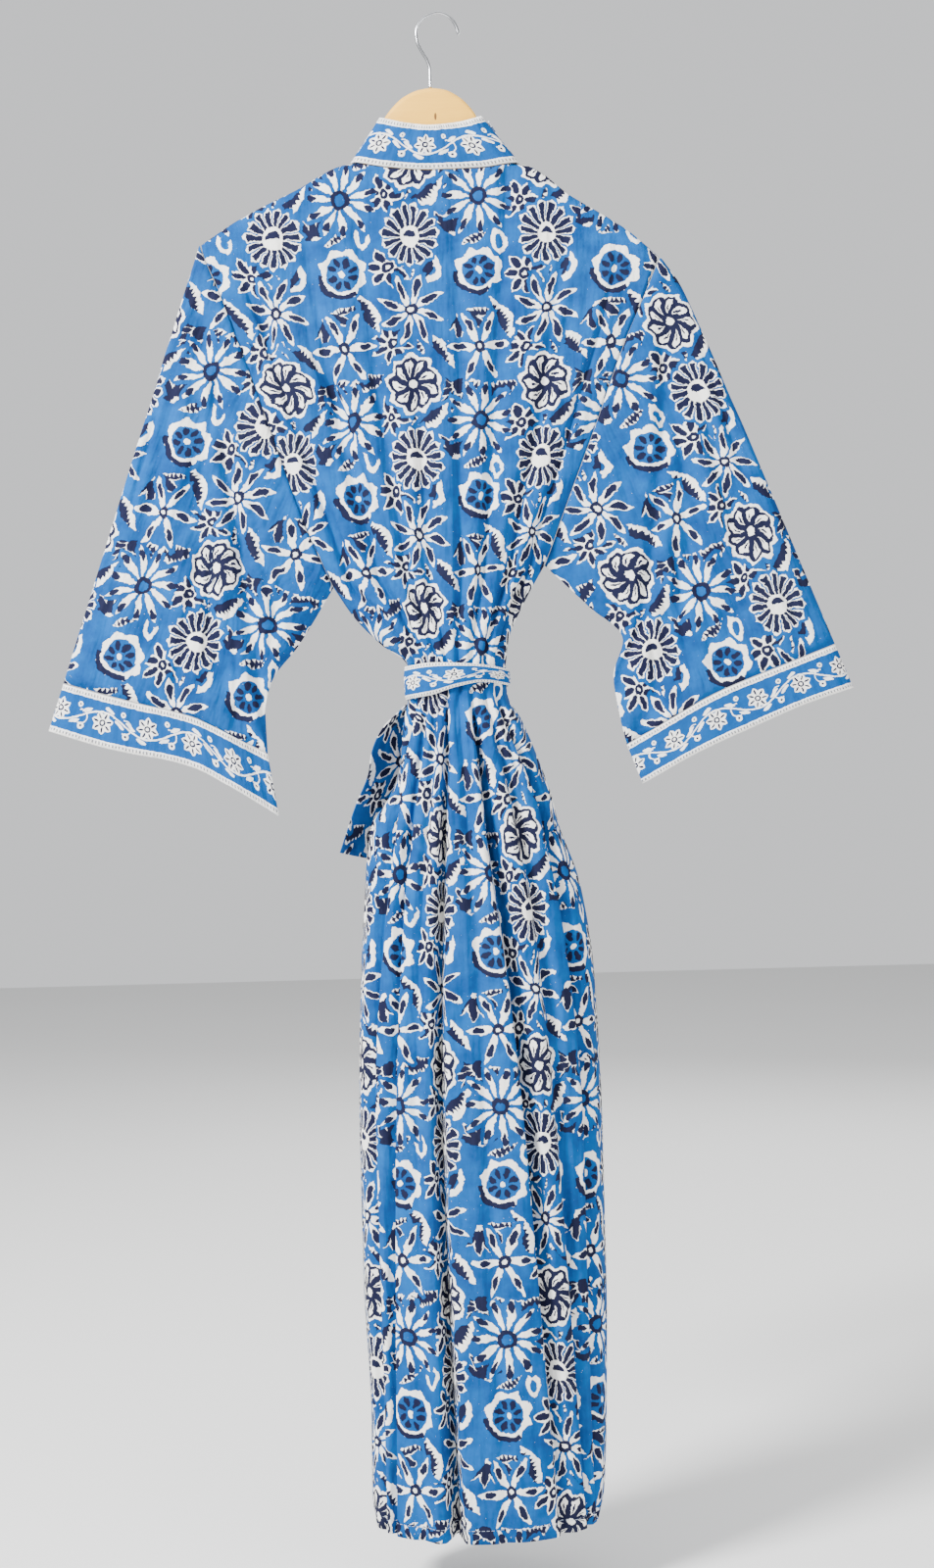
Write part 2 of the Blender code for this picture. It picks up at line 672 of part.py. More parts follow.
def cloth(name, rows, finish, thickness=CLOTH, closed=False, flip=False, seams=()):
    """A wall of cloth whose outer face runs through rows of points."""
    outer = np.array(rows, float)
    if flip:
        outer = outer[:, ::-1]
    high, wide = outer.shape[:2]
    inner = outer - wall_normals(outer, closed, seams) * thickness
    points = np.concatenate([outer.reshape(-1, 3), inner.reshape(-1, 3)])
    inside = high * wide
    faces = []
    last_column = wide if closed else wide - 1
    for i in range(high - 1):
        for j in range(last_column):
            k = (j + 1) % wide
            a, b, c, d = i * wide + j, (i + 1) * wide + j, (i + 1) * wide + k, i * wide + k
            # A ring's twisted patches split along one diagonal in both walls, so that the walls
            # stay a thickness apart.
            if not closed:
                patches = ((a, b, c, d),)
            elif np.linalg.norm(points[a] - points[c]) <= np.linalg.norm(points[b] - points[d]):
                patches = ((a, b, c), (a, c, d))
            else:
                patches = ((a, b, d), (b, c, d))
            for patch in patches:
                faces.append(patch)
                faces.append(tuple(inside + corner for corner in reversed(patch)))
    rims = [[(0, j) for j in range(wide)], [(high - 1, j) for j in range(wide)][::-1]]
    if not closed:
        rims.append([(i, 0) for i in range(high)][::-1])
        rims.append([(i, wide - 1) for i in range(high)])
    for rim in rims:
        ends = rim[1:] + rim[:1] if closed else rim[1:]
        for (i, j), (m, n) in zip(rim, ends):
            here, there = i * wide + j, m * wide + n
            faces.append((here, there, inside + there, inside + here))
    return add_object(name, points, faces, finish)


def closed_loft(name, rings, finish):
    """A solid through rings, closed at both ends."""
    count = len(rings[0])
    points = [point for ring in rings for point in ring]
    faces = []
    for i in range(len(rings) - 1):
        for j in range(count):
            k = (j + 1) % count
            faces.append((i * count + j, i * count + k, (i + 1) * count + k, (i + 1) * count + j))
    faces.append(tuple(range(count))[::-1])
    last = (len(rings) - 1) * count
    faces.append(tuple(range(last, last + count)))
    made = add_object(name, points, faces, finish)
    solid = bmesh.new()
    solid.from_mesh(made.data)
    bmesh.ops.recalc_face_normals(solid, faces=solid.faces)
    solid.to_mesh(made.data)
    solid.free()
    return made


def hanger_wood(finish):
    rings = []
    for point in HANGER:
        middle = 0.5 * (point.top + point.bottom)
        half_height = 0.5 * (point.top - point.bottom)
        ring = []
        for step in range(HANGER_SIDES):
            angle = 2 * math.pi * (step + 0.5) / HANGER_SIDES
            up, across = math.sin(angle), math.cos(angle)
            rise = math.copysign(abs(up), up) * point.half * 1.05
            z = middle + math.copysign(half_height - point.half * 1.05, up) + rise
            ring.append((point.x, point.half * across, z))
        rings.append(ring)
    return closed_loft("hanger_wood", rings, finish)


def hanger_hook(finish):
    curve = bpy.data.curves.new("hanger_hook", "CURVE")
    curve.dimensions = "3D"
    curve.bevel_depth = WIRE_RADIUS * MM
    curve.bevel_resolution = 2
    curve.use_fill_caps = True
    line = curve.splines.new("POLY")
    line.points.add(HOOK_STEPS)
    for step, spot in enumerate(line.points):
        x, z = along(HOOK_PATH, step / HOOK_STEPS)
        spot.co = (x * MM, 0.0, z * MM, 1.0)
    curve.materials.append(finish)
    made = bpy.data.objects.new("hanger_hook", curve)
    bpy.context.scene.collection.objects.link(made)
    return made


def belt_knot(finish):
    """A rounded knot on the front of the belt."""
    width, depth, height = KNOT_SIZE
    front = read(BODY, "front", 3.0) + BELT_CLEAR + 1.5
    middle = (KNOT_CENTRE[0], front + LAYER_GAP + 0.5 * depth, KNOT_CENTRE[1])
    rings = []
    for i in range(1, 8):
        tilt = math.pi * i / 8 - math.pi / 2
        ring = []
        for step in range(12):
            angle = 2 * math.pi * step / 12
            ring.append((middle[0] + 0.5 * width * math.sin(tilt),
                         middle[1] + 0.5 * depth * math.cos(tilt) ** 0.8 * math.cos(angle),
                         middle[2] + 0.5 * height * math.cos(tilt) ** 0.6 * math.sin(angle)))
        rings.append(ring)
    return closed_loft("belt_knot", rings, finish)


def main():
    for old in list(bpy.data.objects):
        bpy.data.objects.remove(old, do_unlink=True)
    printed = material("printed_cotton", BLUE, 0.85)
    border = material("border_print", BORDER_BLUE, 0.85)
    cloth("back_panel", back_panel(), printed, seams=("first column", "last column"))
    cloth("front_panel_left", front_panel("left"), printed, flip=True, seams=("last column",))
    cloth("front_panel_right", front_panel("right"), printed, seams=("first column",))
    cloth("front_band_left", front_band("left"), border, BAND_CLOTH, flip=True)
    cloth("front_band_right", front_band("right"), border, BAND_CLOTH)
    cloth("collar_back", collar_back(), border, BAND_CLOTH, seams=("first column", "last column"))
    for side in SLEEVES:
        inside_out = side == "right"
        cloth("sleeve_" + side, sleeve(side), printed, closed=True, flip=inside_out)
        cloth("cuff_band_" + side, cuff_band(side), border, closed=True, flip=inside_out)
    cloth("belt_band", belt_band(), border, BAND_CLOTH, closed=True)
    belt_knot(border)
    for number, table in enumerate(BELT_TAILS, 1):
        cloth("belt_tail_%d" % number, belt_tail(table), border, BAND_CLOTH)
    cloth("pocket_left", pocket_left(), printed, POCKET_CLOTH)
    hanger_wood(material("pale_wood", PALE_WOOD, 0.5))
    hanger_hook(material("bright_steel", STEEL, 0.25, 1.0))


main()
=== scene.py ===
"""Cotton kimono robe on a wooden hanger: the looks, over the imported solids.

The cloth is built again from the sizes of the part's own tables, with many more rows and columns,
fine creases, and thin walls. Tables are in millimetres, in the same frame as the solids: +Z up,
the garment's back towards -Y, the wearer's left at -X, the origin at the inside top of the hook.
"""

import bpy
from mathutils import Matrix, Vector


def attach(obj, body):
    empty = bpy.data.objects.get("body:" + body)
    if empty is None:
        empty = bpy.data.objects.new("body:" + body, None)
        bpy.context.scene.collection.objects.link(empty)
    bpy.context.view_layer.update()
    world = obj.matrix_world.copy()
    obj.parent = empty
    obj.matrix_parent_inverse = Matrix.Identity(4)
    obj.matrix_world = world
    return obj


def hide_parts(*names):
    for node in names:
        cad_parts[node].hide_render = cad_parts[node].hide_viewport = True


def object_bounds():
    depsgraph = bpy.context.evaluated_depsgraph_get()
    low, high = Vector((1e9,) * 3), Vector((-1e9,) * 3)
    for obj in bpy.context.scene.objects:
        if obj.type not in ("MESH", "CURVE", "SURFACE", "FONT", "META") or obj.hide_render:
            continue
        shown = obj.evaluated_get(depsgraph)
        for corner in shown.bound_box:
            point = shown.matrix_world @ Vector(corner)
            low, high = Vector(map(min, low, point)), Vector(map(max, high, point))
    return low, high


bl_info = {
    "name": "Kimono robe on a hanger",
    "version": (1, 0, 0),
    "blender": (4, 5, 0),
    "location": "3D View > Sidebar > Robe",
    "description": "Builds a block-printed cotton robe, its belt and its hanger over a fixed frame",
    "category": "Object",
}

import math
from collections import namedtuple
from functools import lru_cache

import bmesh
import bpy
import numpy as np
from bpy.props import FloatProperty, FloatVectorProperty, IntProperty, PointerProperty
from mathutils import Matrix, Vector

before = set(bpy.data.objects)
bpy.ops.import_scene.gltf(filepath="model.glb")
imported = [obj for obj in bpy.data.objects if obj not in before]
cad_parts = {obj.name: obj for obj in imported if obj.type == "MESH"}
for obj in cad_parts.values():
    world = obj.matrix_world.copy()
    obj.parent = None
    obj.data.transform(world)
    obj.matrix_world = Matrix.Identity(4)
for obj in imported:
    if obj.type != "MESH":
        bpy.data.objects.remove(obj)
CAD_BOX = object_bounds()

MM = 0.001
SEAM_GAP = 0.4
LAYER_GAP = 0.5
# The shoulder line and the back neck, left tip to right tip.
TopPoint = namedtuple("TopPoint", "x z y")
SHOULDER_LINE = [
    TopPoint(-228, -211, 0.0),
    TopPoint(-190, -187, 0.0),
    TopPoint(-140, -163, 0.0),
    TopPoint(-86, -139, 0.0),
    TopPoint(-80, -140, -6.0),
    TopPoint(-69, -143, -10.5),
    TopPoint(-47, -147, -12.0),
    TopPoint(-10, -150, -13.0),
    TopPoint(36, -149, -12.0),
    TopPoint(57, -146, -10.5),
    TopPoint(67, -144, -6.0),
    TopPoint(73, -143, 0.0),
    TopPoint(122, -175, 0.0),
    TopPoint(172, -207, 0.0),
    TopPoint(201, -233, 0.0),
]

# The body above the underarm: the armhole edges and how far the cloth stands off the hanger.
Yoke = namedtuple("Yoke", "station left right edge_depth centre_depth fall")
YOKE = [
    Yoke(0.00, -228, 201, 0.0, 0.0, 0.0),
    Yoke(0.014, -227, 200, 6.0, 6.0, 0.7),
    Yoke(0.05, -226, 198, 8.2, 8.6, 1.0),
    Yoke(0.24, -214, 187, 9.0, 11.0, 1.0),
    Yoke(0.50, -199, 170, 10.5, 14.0, 1.0),
    Yoke(0.80, -182, 153, 12.0, 17.0, 1.0),
    Yoke(1.10, -166, 137, 12.5, 19.5, 1.0),
    Yoke(1.40, -150, 120, 12.0, 22.0, 1.0),
    Yoke(1.70, -133, 103, 9.5, 24.0, 1.0),
    Yoke(1.90, -119, 92, 6.0, 25.4, 1.0),
    Yoke(2.00, -112, 86, 0.0, 26.0, 1.0),
]
UNDERARM_LEFT_Z = -536.0
UNDERARM_RIGHT_Z = -520.0

# The closed body below the underarm: height, side seams, and depth behind and in front.
Level = namedtuple("Level", "station z left right back front tilt")
BODY = [
    Level(2.00, -528, -112, 86, 26, 26, 8.0),
    Level(2.35, -560, -93, 66, 28, 28, 5.0),
    Level(2.65, -590, -67, 51, 30, 30, 2.0),
    Level(2.85, -609, -45, 48, 30, 30, 0.5),
    Level(3.00, -625, -44, 47, 30, 30, 0.0),
    Level(3.15, -643, -45, 49, 31, 31, 0.0),
    Level(3.35, -662, -50, 60, 37, 36, 0.0),
    Level(3.65, -705, -54, 77, 46, 44, 0.0),
    Level(3.85, -735, -66, 87, 52, 50, 0.0),
    Level(4.00, -762, -84, 93, 57, 55, 0.0),
    Level(4.30, -820, -90, 112, 64, 60, 0.0),
    Level(4.60, -905, -96, 123, 70, 66, 0.0),
    Level(5.00, -1050, -101, 127, 75, 70, 0.0),
    Level(5.35, -1180, -101, 127, 76, 72, 0.0),
    Level(5.70, -1310, -97, 124, 74, 70, 0.0),
    Level(5.90, -1385, -98, 120, 71, 67, 0.0),
    Level(6.00, -1412, -95, 114, 68, 64, 0.0),
]
ROWS = [row.station for row in YOKE] + [row.station for row in BODY[1:]]

# The stations at which the fold tables give a fold's place and depth.
FOLD_STATIONS = (0.0, 1.0, 2.0, 3.0, 4.0, 5.0, 6.0)
Fold = namedtuple("Fold", "name places depths width lean")
# The columns that a fold takes, the depth at which it leans over in full, how steep its walls may
# be, and the share of the room beside it that it may take.
FOLD_COLUMNS = 6
LEAN_DEPTH = 20.0
STEEPEST = 2.6
FOLD_ROOM = 0.34
BACK_FOLDS = [
    Fold("left side", (-196, -150, -96, -37, -62, -88, -86), (0, 4, 6, 3, 7, 6, 5), 12, 0),
    Fold("left blade", (-138, -110, -68, -27, -48, -71, -77), (0, 6, 8, 3, 9, 11, 12), 13, 2),
    Fold("left middle", (-84, -66, -42, -17, -30, -48, -50), (0, 4, 7, 3, 6, 4, 3), 12, 0),
    Fold("main groove", (-36, -28, -19, -8, -14, -25, -19), (0, 3, 6, 3, 24, 36, 40), 13, -5),
    Fold("middle", (12, 12, 7, 3, 8, 19, 28), (0, 4, 6, 3, 6, 4, 3), 12, 0),
    Fold("second groove", (62, 48, 30, 15, 31, 62, 82), (0, 5, 8, 3, 22, 20, 7), 13, -5),
    Fold("right blade", (120, 90, 55, 27, 58, 88, 104), (0, 6, 8, 3, 10, 9, 6), 12, -2),
    Fold("right side", (172, 122, 73, 38, 81, 111, 112), (0, 4, 6, 3, 11, 8, 5), 9, 0),
]
LEFT_FRONT_FOLDS = [
    Fold("left side", (-196, -150, -92, -35, -60, -78, -76), (0, 4, 6, 2, 9, 14, 15), 12, 2),
    Fold("left breast", (-158, -112, -66, -24, -36, -46, -44), (0, 5, 6, 2, 11, 18, 20), 13, 3),
    Fold("wrap", (-116, -78, -42, -13, -12, -10, -6), (0, 4, 5, 2, 8, 13, 12), 13, 3),
]
RIGHT_FRONT_FOLDS = [
    Fold("wrap", (100, 66, 30, 8, 10, 10, 12), (0, 3, 3, 2, 3, 4, 4), 12, 0),
    Fold("right breast", (138, 96, 50, 20, 44, 58, 60), (0, 5, 5, 2, 4, 6, 6), 12, 0),
    Fold("right side", (176, 124, 68, 34, 74, 102, 98), (0, 4, 6, 2, 9, 12, 12), 11, -2),
]

# The seams where the band is sewn to the front edges, and how far the band reaches past them.
Edge = namedtuple("Edge", "station left right reach lift inset")
FRONT_EDGE = [
    Edge(0.00, -86, 73, 28, 42, 0.0),
    Edge(0.014, -86, 73, 28.5, 41, 0.0),
    Edge(0.05, -84, 71, 30, 38, 0.5),
    Edge(0.24, -76, 62, 38, 24, 3.0),
    Edge(0.50, -66, 52, 42, 14, 5.0),
    Edge(1.10, -42, 30, 43, 5, 6.0),
    Edge(2.00, -12, 2, 36, 0, 6.0),
    Edge(2.65, 2, -6, 26, 0, 6.0),
    Edge(3.00, 5, -8, 22, 0, 6.0),
    Edge(3.35, 8, -10, 26, 0, 8.0),
    Edge(4.00, 24, -24, 38, 0, 17.0),
    Edge(5.00, 30, -35, 43, 0, 26.0),
    Edge(6.00, 30, -35, 43, 0, 27.0),
]
INSET_REACH = 0.42

# The collar at the back of the neck: its seam and its upper edge, shoulder to shoulder.
CollarPoint = namedtuple("CollarPoint", "share x y z top_x top_y top_z")
COLLAR = [
    CollarPoint(0.00, -86, 0.0, -139, -58, 0.0, -97),
    CollarPoint(0.07, -82, -7.0, -140, -57, -7.5, -98),
    CollarPoint(0.16, -70, -11.0, -143, -50, -11.0, -100.5),
    CollarPoint(0.32, -47, -12.5, -147, -33, -13.0, -105),
    CollarPoint(0.52, -10, -13.5, -150, -10, -14.0, -108),
    CollarPoint(0.70, 36, -12.5, -149, 14, -13.0, -106),
    CollarPoint(0.85, 58, -11.0, -146, 30, -11.0, -102),
    CollarPoint(0.94, 69.5, -7.0, -144, 37, -7.5, -99),
    CollarPoint(1.00, 73, 0.0, -143, 39, 0.0, -97.5),
]
COLLAR_BOW = 2.5

# Each sleeve: its outer edge, its underarm edge, the border's seam and the cuff's edge.
Sleeve = namedtuple("Sleeve", "outer inner seam cuff")
SLEEVES = {
    "left": Sleeve(
        outer=[(-228, -211), (-238, -240), (-253, -283), (-368, -619)],
        inner=[(-112, -536), (-146, -589), (-173, -624), (-179, -652), (-178, -690)],
        seam=[(-368, -619), (-308, -637), (-246, -654), (-205, -675), (-178, -690)],
        cuff=[(-383, -663), (-320, -683), (-254, -698), (-212, -720), (-169, -748)],
    ),
    "right": Sleeve(
        outer=[(201, -233), (217, -256), (230, -284), (357, -601)],
        inner=[(86, -520), (126, -559), (158, -592), (148, -626), (153, -662), (159, -690)],
        seam=[(357, -601), (303, -621), (243, -644), (191, -672), (159, -690)],
        cuff=[(373, -642), (328, -656), (276, -677), (225, -699), (173, -727)],
    ),
}
SLEEVE_COLUMNS = 12
SLEEVE_DEPTH = 15.0
TIP_GAP = 1.6
TIP_SHARE = 0.08
FOLD_EDGE = 2.2
CUFF_DEPTH = 16.0
SleeveFold = namedtuple("SleeveFold", "start end width depth")
SLEEVE_FOLDS = [
    SleeveFold(0.02, 0.94, 0.10, 6.0),
    SleeveFold(0.30, 1.25, 0.09, 4.0),
    SleeveFold(-0.30, 0.55, 0.08, 3.0),
]

# The belt: its top and bottom edge behind, left to right, and in front.
BeltPoint = namedtuple("BeltPoint", "across top bottom")
BELT_BACK = [
    BeltPoint(-1.0, -612, -643),
    BeltPoint(-0.5, -610, -640),
    BeltPoint(0.0, -611, -633),
    BeltPoint(0.5, -613, -629),
    BeltPoint(1.0, -617, -632),
]
BELT_FRONT_TOP = -610.0
BELT_FRONT_BOTTOM = -640.0
BELT_CLEAR = 2.4

# The knot and the two ends that hang below it.
KNOT_SIZE = (40.0, 20.0, 34.0)
KNOT_CENTRE = (4.0, -626.0)
TailRow = namedtuple("TailRow", "z x width y")
BELT_TAILS = [
    [
        TailRow(-643.4, -4, 14, 42),
        TailRow(-656, -6, 20, 46),
        TailRow(-700, -14, 32, 60),
        TailRow(-780, -20, 38, 73),
        TailRow(-880, -22, 42, 81),
        TailRow(-985, -24, 44, 84),
    ],
    [
        TailRow(-643.0, 11.5, 14, 42),
        TailRow(-656, 18, 20, 46),
        TailRow(-700, 34, 32, 60),
        TailRow(-780, 38, 38, 73),
        TailRow(-900, 40, 42, 81),
        TailRow(-1040, 40, 44, 84),
    ],
]

# The pocket bag that hangs out below the belt: outer edge and inner edge at each height, and how
# far each row has left the body's side, where the bag is sewn.
PocketRow = namedtuple("PocketRow", "z outer_x outer_y inner_x inner_y drop free")
POCKET = [
    PocketRow(-647, -50, 4, -40, 28, 1, 0.0),
    PocketRow(-654, -60, 7, -41, 35, 2, 0.4),
    PocketRow(-669, -73, 9, -42, 41, 3, 0.85),
    PocketRow(-690, -81, 11, -46, 48, 5, 1.0),
    PocketRow(-711, -85, 14, -50, 54, 7, 1.0),
    PocketRow(-741, -98, 15, -58, 59, 9, 1.0),
    PocketRow(-785, -114, 17, -68, 63, 12, 1.0),
]
POCKET_SEAT = (-0.99, -0.62)
POCKET_CLOTH = 2.0
POCKET_RISE = 6.0
POCKET_COLUMNS = 6
POCKET_BOW = 4.0

# The wooden hanger: upper and lower edge, left end to right end.
HangerPoint = namedtuple("HangerPoint", "x top bottom half")
HANGER = [
    HangerPoint(-223, -216.0, -223, 3.0),
    HangerPoint(-219, -209.5, -230, 4.8),
    HangerPoint(-208, -201.2, -231, 5.4),
    HangerPoint(-190, -189.6, -221, 5.5),
    HangerPoint(-140, -165.6, -196, 5.6),
    HangerPoint(-96, -147.4, -176, 5.6),
    HangerPoint(-84, -144.8, -171, 5.6),
    HangerPoint(-79, -143.5, -169, 5.6),
    HangerPoint(-72, -132.0, -167, 5.6),
    HangerPoint(-58, -105.0, -162, 5.6),
    HangerPoint(-48, -90.0, -159, 6.0),
    HangerPoint(-34, -77.0, -156, 6.5),
    HangerPoint(-20, -71.0, -154, 6.5),
    HangerPoint(-9, -69.5, -153, 6.5),
    HangerPoint(3, -71.0, -154, 6.5),
    HangerPoint(17, -78.0, -156, 6.5),
    HangerPoint(29, -90.0, -159, 6.0),
    HangerPoint(38, -105.0, -163, 5.6),
    HangerPoint(50, -124.0, -167, 5.6),
    HangerPoint(61, -143.0, -171, 5.6),
    HangerPoint(67, -148.0, -174, 5.6),
    HangerPoint(84, -154.4, -180, 5.6),
    HangerPoint(122, -178.0, -205, 5.6),
    HangerPoint(172, -210.6, -237, 5.4),
    HangerPoint(185, -221.5, -247, 5.2),
    HangerPoint(194, -231.5, -249, 4.6),
    HangerPoint(197, -238.5, -245, 3.0),
]

# The wire hook, from the wood up and round to its tip.
WIRE_RADIUS = 1.6
HOOK_PATH = [
    (-9, -69.1), (-9, -60), (-9, -52), (-11, -44), (-16, -35), (-20, -26), (-21, -17),
    (-18, -8), (-10, -1), (0, 1.6), (8, -1), (14, -7), (17.5, -14), (19, -21),
]


def smooth(stations, values, at):
    """A value read from a table at one station, on a smooth curve through its rows."""
    stations = np.asarray(stations, float)
    values = np.asarray(values, float)
    last = len(stations) - 2
    k = int(np.clip(np.searchsorted(stations, at, side="right") - 1, 0, last))
    span = stations[k + 1] - stations[k]
    f = float(np.clip((at - stations[k]) / span, 0.0, 1.0))
    here = (values[k + 1] - values[k]) / span
    before = (values[k] - values[k - 1]) / (stations[k] - stations[k - 1]) if k > 0 else here
    after = (values[k + 2] - values[k + 1]) / (stations[k + 2] - stations[k + 1]) if k < last else here
    start = 0.0 if before * here <= 0 else 2 * before * here / (before + here)
    end = 0.0 if here * after <= 0 else 2 * here * after / (here + after)
    f2, f3 = f * f, f * f * f
    return (values[k] * (2 * f3 - 3 * f2 + 1) + start * span * (f3 - 2 * f2 + f)
            + values[k + 1] * (3 * f2 - 2 * f3) + end * span * (f3 - f2))


@lru_cache(maxsize=None)
def table_columns(name, column):
    table = {"YOKE": YOKE, "BODY": BODY, "FRONT_EDGE": FRONT_EDGE}[name]
    return [row.station for row in table], [getattr(row, column) for row in table]


@lru_cache(maxsize=None)
def read_at(name, column, station):
    stations, values = table_columns(name, column)
    return smooth(stations, values, station)


def read(table, column, station):
    """One column of a table of rows at a station."""
    name = "YOKE" if table is YOKE else "BODY" if table is BODY else "FRONT_EDGE"
    return read_at(name, column, station)


def along(points, fraction):
    """The point at a fraction of a polyline's length."""
    points = np.asarray(points, float)
    steps = np.linalg.norm(np.diff(points, axis=0), axis=1)
    length = np.concatenate([[0.0], np.cumsum(steps)])
    at = fraction * length[-1]
    return np.array([smooth(length, points[:, axis], at) for axis in range(points.shape[1])])


def shoulder(x):
    """Height and depth of the shoulder line and back neck at x."""
    xs = [point.x for point in SHOULDER_LINE]
    return (smooth(xs, [point.z for point in SHOULDER_LINE], x),
            smooth(xs, [point.y for point in SHOULDER_LINE], x))


def sides(station):
    """The left and right edge of the body at a station."""
    table = YOKE if station <= 2 else BODY
    return read(table, "left", station), read(table, "right", station)


def body_point(station, u, front):
    """A point of the smooth body, without folds. u runs from -1 at the left to 1 at the right."""
    left, right = sides(station)
    x = 0.5 * (left + right) + 0.5 * (right - left) * u
    face = 1.0 if front else -1.0
    arch = math.sqrt(max(0.0, 1.0 - u * u))
    if station <= 2:
        top_left, top_right = sides(0.0)
        top_z, top_y = shoulder(0.5 * (top_left + top_right) + 0.5 * (top_right - top_left) * u)
        under = 0.5 * (UNDERARM_LEFT_Z + UNDERARM_RIGHT_Z)
        under += 0.5 * (UNDERARM_RIGHT_Z - UNDERARM_LEFT_Z) * u
        z = top_z + (under - top_z) * station / 2
        edge = read(YOKE, "edge_depth", station)
        depth = edge + (read(YOKE, "centre_depth", station) - edge) * arch
        fall = read(YOKE, "fall", station)
        y = depth if front else abs(top_y) * (1 - fall) + max(depth, abs(top_y) * fall)
    else:
        z = read(BODY, "z", station) + read(BODY, "tilt", station) * u
        y = read(BODY, "front" if front else "back", station) * arch
    return np.array([x, face * max(y, 0.5 * SEAM_GAP), z])


def inward(station, u, front):
    """The direction that a fold sinks in: straight in on the yoke, towards the axis lower down."""
    face = 1.0 if front else -1.0
    left, right = sides(station)
    half = 0.5 * (right - left)
    depth = read(BODY, "front" if front else "back", station) if station > 2 else 26.0
    arch = math.sqrt(max(0.0, 1.0 - u * u))
    round_way = np.array([-u / half, -face * arch / depth, 0.0])
    round_way /= np.linalg.norm(round_way)
    straight = np.array([0.0, -face, 0.0])
    share = float(np.clip((station - 1.4) / 0.8, 0.0, 1.0))
    way = straight * (1 - share) + round_way * share
    return way / np.linalg.norm(way)


def fold_columns(folds, station, start_u, end_u):
    """Columns across a panel: each fold's two shoulders, walls and bottom, and the crests between.

    Returns rows of (u, depth, lean), all in the order from start_u to end_u.
    """
    left, right = sides(station)
    middle = 0.5 * (left + right)
    half = 0.5 * (right - left)
    centres = [(smooth(FOLD_STATIONS, fold.places, station) - middle) / half for fold in folds]
    low, high = min(start_u, end_u), max(start_u, end_u)
    stops = [low] + centres + [high]
    columns = [(low, 0.0, 0.0)]
    for index, fold in enumerate(folds):
        centre = centres[index]
        room = min(centre - stops[index], stops[index + 2] - centre)
        steep = math.sqrt(max(0.12, 1.0 - centre * centre))
        reach = min(fold.width * steep / half, FOLD_ROOM * room)
        depth = min(smooth(FOLD_STATIONS, fold.depths, station), STEEPEST * reach * half)
        lean = fold.lean * min(1.0, depth / LEAN_DEPTH) * min(1.0, reach * half / fold.width)
        before = columns[-1][0]
        columns.append((0.5 * (before + centre - reach), -0.08 * depth, 0.0))
        for offset, share in ((-1.0, 0.0), (-0.5, 0.5), (0.0, 1.0), (0.5, 0.5), (1.0, 0.0)):
            columns.append((centre + offset * reach, share * depth, share * lean))
    columns.append((0.5 * (columns[-1][0] + high), 0.0, 0.0))
    columns.append((high, 0.0, 0.0))
    return columns if start_u < end_u else columns[::-1]


def folded(station, column, front, inset=0.0):
    """A point of the body at a column, sunk by its fold and by an inner layer's inset."""
    u, depth, lean = column
    point = body_point(station, u, front)
    way = inward(station, u, front)
    rise = float(np.clip(station / 0.24, 0.0, 1.0))
    aside = np.array([-way[1], way[0], 0.0]) * lean * (1.0 if front else -1.0)
    return point + way * (depth * rise + inset) + aside * rise


def edge_u(station, side, extra=0.0):
    """Where a front panel ends, as u, moved on by extra millimetres."""
    left, right = sides(station)
    x = read(FRONT_EDGE, side, station) + (extra if side == "left" else -extra)
    return (x - 0.5 * (left + right)) / (0.5 * (right - left))


def front_inset(station, u, side):
    """How far the under layer of the wrap lies inside the upper one."""
    if side == "left":
        return 0.0
    share = float(np.clip((1.0 - u) / (1.0 - edge_u(station, side)) / INSET_REACH, 0.0, 1.0))
    return read(FRONT_EDGE, "inset", station) * share * share * (3 - 2 * share)


def armhole(side, share, front):
    """The armhole at a share of the way from the shoulder tip down to the underarm."""
    return body_point(2.0 * share, -1.0 if side == "left" else 1.0, front)


def coons(top, bottom, start, end, across, down):
    """A patch between four edges: top and bottom by across, start and end by down."""
    ruled = (1 - down) * top(across) + down * bottom(across)
    sides_part = (1 - across) * start(down) + across * end(down)
    corners = ((1 - across) * (1 - down) * start(0.0) + across * (1 - down) * end(0.0)
               + (1 - across) * down * start(1.0) + across * down * end(1.0))
    return ruled + sides_part - corners


def sleeve_sink(down, across):
    """How far the long pinched folds of a sleeve sink in."""
    total = 0.0
    for fold in SLEEVE_FOLDS:
        middle = fold.start + (fold.end - fold.start) * down
        distance = abs(across - middle) / fold.width
        if distance < 1.0:
            total += fold.depth * 0.5 * (1 + math.cos(math.pi * distance))
    return total * min(1.0, 4 * down)


def ring_place(step):
    """A step of a sleeve's ring: whether it is in front, its share of that layer, and its place across."""
    front = step >= SLEEVE_COLUMNS
    turn = step / SLEEVE_COLUMNS
    share = 2.0 - turn if front else turn
    return front, share, 0.5 * (1 - math.cos(math.pi * share))


def puff(depth, share):
    """How far a layer of a sleeve stands off the middle at a share of its width."""
    return depth * math.sin(math.pi * share) ** 0.7 if 0 < share < 1 else 0.0


